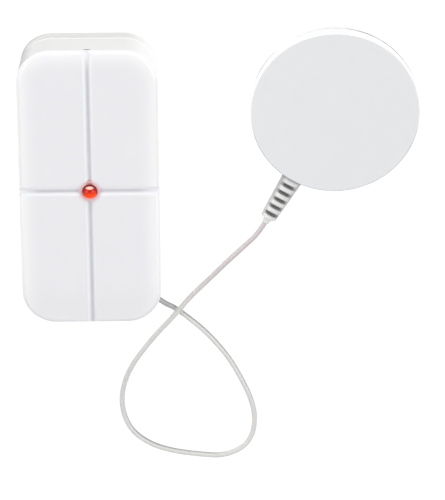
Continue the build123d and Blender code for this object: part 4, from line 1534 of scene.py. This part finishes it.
@dataclass
class Board:
    """The circuit board with its chips, its radio part and the small parts, joints and marks round them."""

    top: float = BOARD_TOP
    mark_height: float = 0.05
    chip_row: float = CHIP_ROW
    chips: tuple[tuple[str, float, int], ...] = (("controller_chip", -6.0, 8), ("amplifier_chip", 3.0, 4))
    leg_pitch: float = 1.27
    dent_at: Place = (0.55, -1.05, 7.08)
    dent_radius: float = 0.42
    dent_height: float = 0.4
    foot_at: float = 2.88
    foot_size: Size = (0.33, 0.5, 0.14)
    part_size: Size = (2.0, 1.25, 0.6)
    cap_length: float = 0.44
    part_joint: Size = (0.3, 0.58, 0.26)
    parts: tuple[Spot, ...] = (
        (3.5, -5.25), (3.5, -3.35), (6.3, -5.25), (6.3, -3.35),
        (8.6, 17.85), (8.6, 19.75), (0.85, -22.35), (0.85, -20.45),
    )
    screws: tuple[Spot, ...] = ((-11.4, -21.9), (11.4, 23.4))
    vias: tuple[Spot, ...] = (
        (-12.6, -17.4), (-11.3, -17.4), (-12.9, -10.6), (-0.9, -15.8), (-0.6, -11.0),
        (0.3, -9.6), (1.9, -9.0), (6.5, -9.2), (7.7, -8.2), (5.4, -17.6),
        (3.9, -17.9), (12.9, -6.8), (-1.7, 14.6), (-0.4, 15.9), (1.1, 14.4),
        (11.1, 20.6), (6.4, 22.9), (-1.9, 24.7), (12.7, 20.0), (10.3, 3.6),
    )
    via_size: Spot = (0.16, 0.2)
    land_size: Spot = (1.15, 1.15)
    pads: tuple[Spot, ...] = ((-0.9, 3.4), (-0.9, 5.3), (-0.9, 7.2), (-0.9, 9.1), (-0.9, 11.0))
    pad_radius: float = 0.62
    outlines: tuple[tuple[float, float, float, float], ...] = (
        (-6.0, -13.2, 11.0, 7.4), (3.0, -13.2, 6.0, 7.4), (5.6, 8.2, 8.8, 10.8),
        (2.4, 20.6, 7.4, 6.6), (-4.6, -20.8, 7.4, 6.6), (6.8, -21.6, 7.6, 5.6),
        (4.9, -4.3, 6.2, 4.4), (8.6, 18.8, 3.4, 4.4), (-5.4, -8.6, 5.8, 3.0),
    )
    ink_width: float = 0.16
    ink_height: float = 0.03
    dots: tuple[Spot, ...] = ((-11.9, -15.9), (0.3, -15.9))
    dot_radius: float = 0.3
    dot_height: float = 0.02
    radio_at: Spot = (5.6, 8.2)
    vent_pitch: float = 2.2
    vent_radius: float = 0.42
    vent_floor: float = 6.9
    vent_depth: float = 0.6
    tab_pitch: float = 3.4
    tab_at: float = 4.12
    tab_size: Size = (0.3, 1.1, 0.5)
    tab_joint_at: float = 4.3
    tab_joint: Size = (0.35, 0.7, 0.16)
    capacitor_at: Spot = CAPACITOR
    capacitor_top: float = 11.9
    capacitor_outline: float = 2.85
    score_size: Size = (3.2, 0.12, 0.1)
    crystal_at: Spot = (-5.4, -8.6)
    crystal_flange: Size = (4.9, 2.1, 0.22)
    crystal_size: Size = (4.3, 1.6, 1.3)
    coil_at: Place = (3.4, 15.6, 6.55)
    coil_radius: float = 0.85
    coil_wire: float = 0.16
    coil_turns: int = 6
    coil_pitch: float = 0.36

    def build(self, bench: Workbench) -> None:
        """Dress the board from its laminate up."""
        bench.polish("circuit_board")
        for step in (
            self.chips_and_legs,
            self.small_parts,
            self.metal_marks,
            self.ink,
            self.radio,
            self.capacitor,
            self.crystal,
            self.coil,
            self.screw_heads,
        ):
            step(bench)

    def chips_and_legs(self, bench: Workbench) -> None:
        """Dent each chip at its first leg and solder its feet.

        Args:
            bench: Where pieces are made.
        """
        solder = bmesh.new()
        aside, below, level = self.dent_at
        for node, x, pins in self.chips:
            dent = bmesh.new()
            corner = (x - pins * self.leg_pitch / 2 + aside, self.chip_row + below, level)
            turned(dent, rounded(self.dent_radius, 0.0, self.dent_height, 0.05), corner, steps=20)
            shape = carved(bench.node_shape(node, flatten=True), dent)
            bench.place(f"{node}_body", shape, "chip_black", stands_for=node)
            for number in range(pins):
                along = x + (number - (pins - 1) / 2) * self.leg_pitch
                for side in (-1, 1):
                    foot = (along, self.chip_row + side * self.foot_at, self.top + 0.04)
                    bead(solder, foot, self.foot_size)
        bench.solder("chip_solder", solder)

    def small_parts(self, bench: Workbench) -> None:
        """Cap both ends of each small part and solder them down.

        Args:
            bench: Where pieces are made.
        """
        caps, solder, bodies = bmesh.new(), bmesh.new(), bmesh.new()
        length, width, height = self.part_size
        middle = self.top + height / 2
        cap = (self.cap_length, width, height)
        for x, y in self.parts:
            block(bodies, (x, y, middle), (length - 0.1, width - 0.04, height - 0.03), 0.05)
            for side in (-1, 1):
                block(caps, (x + side * (length / 2 - 0.2), y, middle + 0.01), cap, 0.07)
                bead(solder, (x + side * (length / 2 + 0.02), y, self.top + 0.05), self.part_joint)
        bench.place("small_part_bodies", bodies, "small_part_body", stands_for="small_parts")
        bench.solder("small_part_caps", caps)
        bench.solder("small_part_solder", solder)

    def metal_marks(self, bench: Workbench) -> None:
        """Lay the gilt test pads, the via rings and the screws' lands.

        Args:
            bench: Where pieces are made.
        """
        gilt = bmesh.new()
        for spot in self.pads:
            turned(gilt, rounded(self.pad_radius, 0.0, self.mark_height, 0.03), (*spot, self.top), steps=24)
        for spots, (radius, width) in ((self.vias, self.via_size), (self.screws, self.land_size)):
            for spot in spots:
                ring(gilt, (*spot, self.top - 0.01), radius, width, self.mark_height)
        bench.place("board_gilt", gilt, "piezo_brass", "gilt_copper")

    def ink(self, bench: Workbench) -> None:
        """Print plain white outlines round the parts and a dot at each chip's first leg.

        Args:
            bench: Where pieces are made.
        """
        lines = bmesh.new()
        line, rise = self.ink_width, self.ink_height
        level = self.top + 0.01
        for x, y, width, length in self.outlines:
            for side in (-1, 1):
                block(lines, (x, y + side * length / 2, level), (width + line, line, rise))
                block(lines, (x + side * width / 2, y, level), (line, length - line, rise))
        ring(lines, (*self.capacitor_at, self.top - 0.005), self.capacitor_outline, line, rise)
        for spot in self.dots:
            turned(lines, rod(self.dot_radius, 0.0, self.dot_height), (*spot, self.top), steps=16)
        bench.place("board_ink", lines, "piezo_white", "screen_ink")

    def radio(self, bench: Workbench) -> None:
        """Press the vent holes in the radio part's can and solder its sides down.

        Args:
            bench: Where pieces are made.
        """
        x, y = self.radio_at
        holes = bmesh.new()
        for column in (-1, 0, 1):
            for row in (-1.5, -0.5, 0.5, 1.5):
                spot = (x + column * self.vent_pitch, y + row * self.vent_pitch, self.vent_floor)
                turned(holes, rod(self.vent_radius, 0.0, self.vent_depth), spot, steps=20)
        can = carved(bench.node_shape("radio_shield", flatten=True), holes)
        bench.place("radio_can", can, "shield_metal", stands_for="radio_shield")
        tabs = bmesh.new()
        for side in (-1, 1):
            for row in (-1, 0, 1):
                along = y + row * self.tab_pitch
                middle = self.top + self.tab_size[2] / 2
                block(tabs, (x + side * self.tab_at, along, middle), self.tab_size, 0.08)
                bead(tabs, (x + side * self.tab_joint_at, along, self.top + 0.03), self.tab_joint)
        bench.solder("radio_can_joints", tabs)

    def capacitor(self, bench: Workbench) -> None:
        """Turn the can with its rolled neck and score its top.

        Args:
            bench: Where pieces are made.
        """
        top = self.capacitor_top
        sunk = top - 0.14
        can, score = bmesh.new(), bmesh.new()
        lower = [(0.0, 5.5), (2.3, 5.5), (2.48, 5.7), (2.48, 6.5), (2.25, 6.75), (2.25, 6.95), (2.48, 7.2)]
        upper = [(2.48, top - 0.45), (2.38, top - 0.18), (2.18, top - 0.08), (2.1, sunk), (0.0, sunk)]
        turned(can, lower + upper, (*self.capacitor_at, 0.0), steps=48)
        blades(score, Recess.CROSS, (*self.capacitor_at, sunk), self.score_size)
        bench.place("capacitor_can_body", carved(can, score), "capacitor_can", stands_for="capacitor")

    def crystal(self, bench: Workbench) -> None:
        """Stand the clock crystal's flat can between the chip and the board's edge.

        Args:
            bench: Where pieces are made.
        """
        can = bmesh.new()
        block(can, (*self.crystal_at, 5.62), self.crystal_flange, 0.05)
        block(can, (*self.crystal_at, 6.3), self.crystal_size, 0.3)
        bench.place("crystal_can", can, "shield_metal")

    def coil(self, bench: Workbench) -> None:
        """Wind the small tuning coil beside the radio part.

        Args:
            bench: Where pieces are made.
        """
        wire = bmesh.new()
        centre = Vector(self.coil_at)
        start = centre + Vector((0, 0, self.coil_radius))
        made = bmesh.ops.create_circle(
            wire, cap_ends=False, segments=8, radius=self.coil_wire, matrix=Matrix.Translation(start)
        )
        bmesh.ops.rotate(wire, cent=start, matrix=Matrix.Rotation(radians(90), 3, "X"), verts=made["verts"])
        edges = list({edge for vert in made["verts"] for edge in vert.link_edges})
        bmesh.ops.spin(
            wire,
            geom=made["verts"] + edges,
            cent=centre,
            axis=(1, 0, 0),
            dvec=(self.coil_pitch / 20, 0, 0),
            angle=2 * pi * self.coil_turns,
            steps=20 * self.coil_turns,
            use_merge=False,
        )
        bench.place("tuning_coil", wire, "antenna_wire")

    def screw_heads(self, bench: Workbench) -> None:
        """Turn the two screws with low domed heads and cut their cross recesses.

        Args:
            bench: Where pieces are made.
        """
        shank = [(0.0, 2.4), (0.98, 2.4), (0.98, 5.5)]
        head = [(1.86, 5.5), (1.9, 5.65), (1.88, 6.1), (1.6, 6.45), (1.1, 6.64), (0.0, 6.7)]
        screws, recess = bmesh.new(), bmesh.new()
        for x, y in self.screws:
            turned(screws, shank + head, (x, y, 0.0))
            blades(recess, Recess.CROSS, (x, y, 6.75), (2.1, 0.5, 0.8))
        bench.place("board_screw_heads", carved(screws, recess), "screw_steel", stands_for="board_screws")


@dataclass
class Power:
    """The cylindrical cell in its cradles, between its flat contact and its sprung one."""

    x: float = CELL[0]
    z: float = CELL[1]

    def build(self, bench: Workbench) -> None:
        """Turn the cell with its curled sleeve and skin both contacts.

        Args:
            bench: Where pieces are made.
        """
        minus_end = [(0.0, -2.5), (3.6, -2.5), (3.95, -2.38), (4.1, -2.2), (4.4, -2.2)]
        lower_curl = [(4.46, -2.4), (4.6, -2.49), (4.85, -2.47), (5.06, -2.32), (5.14, -2.05)]
        upper_curl = [(5.15, 24.5), (5.08, 24.8), (4.9, 24.98), (4.66, 25.03), (4.5, 24.95), (4.42, 24.68)]
        plus_end = [(4.2, 24.66), (3.9, 24.84), (2.5, 25.0), (2.15, 25.08)]
        button = [(2.1, 25.8), (1.95, 25.97), (0.0, 26.0)]
        profile = minus_end + lower_curl + upper_curl + plus_end + button
        cell = bmesh.new()
        turned(cell, profile, (self.x, 0.0, self.z), Axis.Y, 64)
        bench.place("battery_cell", cell, "battery_wrap", stands_for="battery")
        bench.polish("positive_contact", "negative_contact")


@dataclass
class Controls:
    """The tamper switch, the learn button's switch and the sensitivity trimmer."""

    board_top: float = BOARD_TOP
    joint_rise: float = 0.04
    half: float = 3.0
    plate: float = 5.6
    corner: float = 2.25
    stake_radius: float = 0.4
    leg_size: Size = (0.24, 0.7, 1.7)
    leg_joint: Size = (0.42, 0.62, 0.2)
    switches: tuple[tuple[str, float, float, float, float], ...] = (
        ("tamper_switch", 2.4, 20.6, 9.1, 1.42),
        ("learn_switch", -4.6, -20.8, 8.9, 1.87),
    )
    trimmer: Place = (10.4, -13.0, 8.7)
    dial_radius: float = 2.72
    dial_dots: int = 9
    pin_pitch: float = 2.5
    pin_size: Size = (0.6, 0.2, 1.0)
    pin_joint: Size = (0.5, 0.42, 0.2)

    def build(self, bench: Workbench) -> None:
        """Skin the moving pieces and dress the bodies round them.

        Args:
            bench: Where pieces are made.
        """
        bench.polish("tamper_stem", body=Body.TAMPER)
        bench.polish("learn_button", body=Body.BUTTON)
        bench.polish("trimmer_rotor", body=Body.ROTOR)
        legs, stakes = bmesh.new(), bmesh.new()
        for node, x, y, top, hole in self.switches:
            bench.polish(node, rounding=0.12)
            sheet, bore = bmesh.new(), bmesh.new()
            block(sheet, (x, y, top - 0.02), (self.plate, self.plate, 0.16), 0.05)
            turned(bore, rod(hole, -1.0, 1.0), (x, y, top))
            bench.place(f"{node}_plate", carved(sheet, bore), "contact_steel")
            for across, along in ((-1, -1), (-1, 1), (1, -1), (1, 1)):
                row = y + along * self.corner
                stake = (x + across * self.corner, row, top)
                turned(stakes, rounded(self.stake_radius, -0.1, 0.2, 0.12), stake, steps=20)
                leg = (x + across * (self.half + 0.12), row, self.board_top + self.leg_size[2] / 2)
                block(legs, leg, self.leg_size, 0.06)
                joint = (x + across * (self.half + 0.16), row, self.board_top + self.joint_rise)
                bead(legs, joint, self.leg_joint)
        bench.place("switch_stakes", stakes, "switch_body")
        bench.solder("switch_legs", legs)
        self.dial(bench)

    def dial(self, bench: Workbench) -> None:
        """Mark the trimmer's travel with small raised dots and solder its legs.

        Args:
            bench: Where pieces are made.
        """
        bench.polish("trimmer_body", rounding=0.15)
        x, y, top = self.trimmer
        dots, legs = bmesh.new(), bmesh.new()
        for number in range(self.dial_dots):
            angle = radians(-45 + 270 * number / (self.dial_dots - 1))
            spot = (x + self.dial_radius * cos(angle), y + self.dial_radius * sin(angle), top)
            turned(dots, rounded(0.13, -0.05, 0.06, 0.04), spot, steps=12)
        bench.place("trimmer_dial", dots, "piezo_white", "screen_ink")
        for across, along in ((-1, -1), (1, -1), (0, 1)):
            column = x + across * self.pin_pitch
            pin = (column, y + along * 3.28, self.board_top + self.pin_size[2] / 2)
            block(legs, pin, self.pin_size, 0.06)
            bead(legs, (column, y + along * 3.3, self.board_top + self.joint_rise), self.pin_joint)
        bench.solder("trimmer_legs", legs)


@dataclass
class CableEntry:
    """The terminal, the clamp and the cable's stripped end inside the housing."""

    terminal: Place = (6.8, -21.6, 9.9)
    pitch: float = 3.0
    face_y: float = -24.1
    wire_height: float = 7.2
    screw_drop: float = 0.42
    mouth_size: Size = (2.0, 3.0, 2.2)
    cage_size: Size = (1.94, 1.2, 2.14)
    cage_hole: Size = (1.5, 1.4, 1.6)
    clamp_screw: Spot = (9.73, -31.53)
    exit_spot: Place = Cable.route[0]
    strip_spot: Place = (9.73, -28.13, 3.3)
    jacket_radius: float = 0.645
    core_radius: float = 0.27
    strand_circle: float = 0.1
    strand_radius: float = 0.06
    strand_length: float = 1.4

    def build(self, bench: Workbench) -> None:
        """Open the terminal's mouths and set its screws, the clamp and the wires.

        Args:
            bench: Where pieces are made.
        """
        ways = [self.terminal[0] + side * self.pitch / 2 for side in (-1, 1)]
        mouths = bmesh.new()
        for way in ways:
            block(mouths, (way, self.face_y, self.wire_height), self.mouth_size, 0.1)
        shape = carved(bench.node_shape("cable_terminal", flatten=True), mouths)
        bench.place("terminal_body", shape, "terminal_plastic", stands_for="cable_terminal")
        self.terminal_metal(bench, ways)
        bench.polish("cable_clamp", rounding=0.15)
        shank = [(0.0, 2.4), (0.78, 2.4), (0.78, 5.1)]
        head = [(1.36, 5.1), (1.4, 5.25), (1.36, 5.6), (1.1, 5.88), (0.6, 5.98), (0.0, 6.0)]
        screw, recess = bmesh.new(), bmesh.new()
        turned(screw, shank + head, (*self.clamp_screw, 0.0), steps=36)
        blades(recess, Recess.CROSS, (*self.clamp_screw, 6.05), (1.6, 0.42, 0.65))
        bench.place("clamp_screw_head", carved(screw, recess), "screw_steel", stands_for="clamp_screw")
        self.wires(bench, ways)

    def terminal_metal(self, bench: Workbench, ways: list[float]) -> None:
        """Set the two slotted screws and the steel cages behind the mouths.

        Args:
            bench: Where pieces are made.
            ways: The x of each of the terminal's ways.
        """
        _, y, top = self.terminal
        head = top - self.screw_drop
        screws, slots, cages, holes = (bmesh.new() for _ in range(4))
        for way in ways:
            turned(screws, rounded(1.02, top - 1.1, head, 0.12), (way, y, 0.0), steps=32)
            blades(slots, Recess.SLOT, (way, y, head), (2.6, 0.34, 0.32))
            block(cages, (way, self.face_y + 0.8, self.wire_height), self.cage_size, 0.1)
            block(holes, (way, self.face_y + 0.5, self.wire_height), self.cage_hole, 0.05)
        bench.place("terminal_screws", carved(screws, slots), "screw_steel")
        bench.place("terminal_cages", carved(cages, holes), "contact_steel")

    def tube(self, points: tuple[Place, ...], radius: float) -> Mesh:
        """Draw a smooth tube through the bends of a wire.

        Args:
            points: The wire's control points, in mm.
            radius: Its radius.

        Returns:
            The tube's mesh.
        """
        path = linked("wire_path", smooth_path("wire_path", points, radius, 1.0, 8))
        shape = applied(path)
        bpy.data.objects.remove(path)
        return shape

    def wires(self, bench: Workbench, ways: list[float]) -> None:
        """Run the jacket to where it is stripped and its two cores up to the terminal.

        Args:
            bench: Where pieces are made.
            ways: The x of each of the terminal's ways.
        """
        jacket = self.tube((self.exit_spot, self.strip_spot), self.jacket_radius)
        bench.place("jacket_end", jacket, "cable_jacket", stands_for="housing_tail")
        x, y, z = self.strip_spot
        near, high = self.face_y, self.wire_height
        for name, way, side, (bend_x, bend_y), node in (
            ("white_core", ways[1], 0.22, (7.9, -25.9), "housing_cores"),
            ("red_core", ways[0], -0.22, (5.6, -26.3), ""),
        ):
            start_x, start_y = x + side, y + side
            points = (
                (start_x + 0.3, start_y - 0.3, z),
                (start_x - 0.5, start_y + 0.5, z + 0.1),
                ((start_x + bend_x) / 2 - 0.2, (start_y + bend_y) / 2 + 0.1, (z + high) / 2 - 0.4),
                (bend_x, bend_y, high - 0.2),
                (way, near - 0.9, high),
                (way, near - 0.35, high),
            )
            bench.place(name, self.tube(points, self.core_radius), "core_wire", name, stands_for=node)
        strands = bmesh.new()
        strand = rod(self.strand_radius, 0.0, self.strand_length)
        for way in ways:
            for angle in range(0, 360, 60):
                turn = radians(angle)
                off_x, off_z = self.strand_circle * cos(turn), self.strand_circle * sin(turn)
                turned(strands, strand, (way + off_x, near - 0.5, high + off_z), Axis.Y, 8)
        bench.place("core_strands", strands, "lead_wire")


@dataclass
class RoundSensor:
    """The round shock sensor: its shells, its piezo disc and its slotted strain relief."""

    relief_crease_deg: float = 42.0

    def build(self, bench: Workbench) -> None:
        """Skin the shells and the strain relief, and finish what is inside.

        Args:
            bench: Where pieces are made.
        """
        bench.polish("sensor_cap", "sensor_base")
        bench.polish("strain_relief", crease_deg=self.relief_crease_deg)
        bench.polish("piezo_ceramic", "piezo_plate", "sensor_pad")
        bench.dress("sensor_tail", "sensor_cores", "antenna")


def finishes() -> dict[str, Finish]:
    """Give each of the record's material slots its finish, and name the few others.

    Returns:
        The finishes by slot.
    """
    return {
        "cover_plastic": CrownedAbs("white_abs_cover", "#F0F0F3", "#EDEDF1"),
        "base_plastic": FootedAbs("white_abs_base", "#E3E3E1", "#E0E0DE"),
        "sensor_cap_plastic": CapAbs("pale_abs_sensor_cap", "#E9EAEC", "#E7E8EA", roughness=0.36),
        "sensor_base_plastic": CapAbs("white_abs_sensor_base", "#F6F6F6", "#F2F2F2"),
        "relief_vinyl": SlottedPvc("grey_pvc_relief", "#ECECEA", "#E7E7E5"),
        "cable_jacket": JacketPvc("white_pvc_jacket", "#E2E1DF", "#DEDDDB"),
        "core_wire": SoftPvc("red_pvc_core", "#B02018", "#A01C14"),
        "red_core": SoftPvc("red_pvc_insulation", "#B4231A", "#A61E16"),
        "white_core": SoftPvc("white_pvc_insulation", "#E6E4DE", "#DEDCD6"),
        "foam_pad": ClosedCellFoam("white_foam_tape", "#E2E0DA", "#D8D6D0"),
        "board_green": SolderResist("green_solder_resist", "#0E5C33", "#0B512C"),
        "chip_black": MouldedEpoxy("black_moulding_compound", "#1A1A1C", "#212123"),
        "shield_metal": Plate("tinned_steel_can", "#CBCBC7", "#BFBFBB", roughness=0.3),
        "capacitor_can": CanSleeve("black_pet_sleeve", "#20222C", "#262834"),
        "small_part_body": Finish("ceramic_chip_body", "#8F745A", "#7E6650", roughness=0.45, grain_mm=0.15),
        "antenna_wire": Plate("enamelled_copper", "#C07A3A", "#AE6A2C", roughness=0.25, coat=0.5),
        "lamp_red": TintedEpoxy(
            "red_tinted_epoxy", "#B01004", "#A40E04", emission="#FF3604", emission_strength=0.8
        ),
        "lead_wire": Plate("tinned_copper_wire", "#D4D4D2", "#C8C8C6", roughness=0.25),
        "tin_solder": Plate("tin_solder", "#D2D3D4", "#C2C3C4", roughness=0.22, line_height_mm=0.0),
        "gilt_copper": Plate("gold_flash_copper", "#D8B25A", "#CCA650", roughness=0.3),
        "screen_ink": Finish("white_screen_ink", "#E8E8E2", "#DCDCD6", roughness=0.6, grain_mm=0.15),
        "spacer_plastic": MouldedAbs("natural_nylon_spacer", "#E4E2DA", "#DCDAD2"),
        "switch_body": Finish("black_nylon_switch", "#1C1C1E", "#242426", roughness=0.42),
        "stem_plastic": MouldedAbs("ivory_acetal_stem", "#E4DCC4", "#DCD4BC"),
        "button_plastic": Finish("black_acetal_button", "#1E1E20", "#262628", roughness=0.35),
        "trimmer_plastic": Finish("blue_nylon_trimmer", "#1D56B4", "#1A4EA4", roughness=0.38),
        "rotor_plastic": MouldedAbs("white_acetal_rotor", "#E8E4D8", "#E0DCD0"),
        "terminal_plastic": Finish("green_polyamide_terminal", "#1F8048", "#1B7440"),
        "battery_wrap": ShrinkSleeve("printed_shrink_sleeve", "#232734", "#1F232E"),
        "contact_steel": Plate("nickel_plated_spring_steel", "#CFCDC6", "#C4C2BB", roughness=0.24),
        "screw_steel": Plate("zinc_plated_steel", "#C9CACB", "#B9BBBD", roughness=0.3),
        "piezo_brass": Plate("rolled_brass", "#CBA552", "#BE9848", roughness=0.3),
        "piezo_white": FiredSilver("fired_silver_ceramic", "#DEDACE", "#D6D2C6"),
    }


def main() -> None:
    """Build the sensor's looks in order and report each piece."""
    logging.basicConfig(level=logging.INFO, format="%(message)s")
    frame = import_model()
    bpy.context.scene.view_settings.view_transform = "Standard"
    CameraRig().build()
    materials = {slot: finish.build() for slot, finish in finishes().items()}
    bench = Workbench(frame, materials)
    Cable().build(bench)
    log.info("cable laid")
    Studio().build()
    for part in (Housing(), Lamp(), Board(), Power(), Controls(), CableEntry(), RoundSensor()):
        part.build(bench)
        log.info("%s done, %d pieces so far", type(part).__name__, bench.made)
    bpy.context.view_layer.update()


if __name__ == "__main__":
    main()
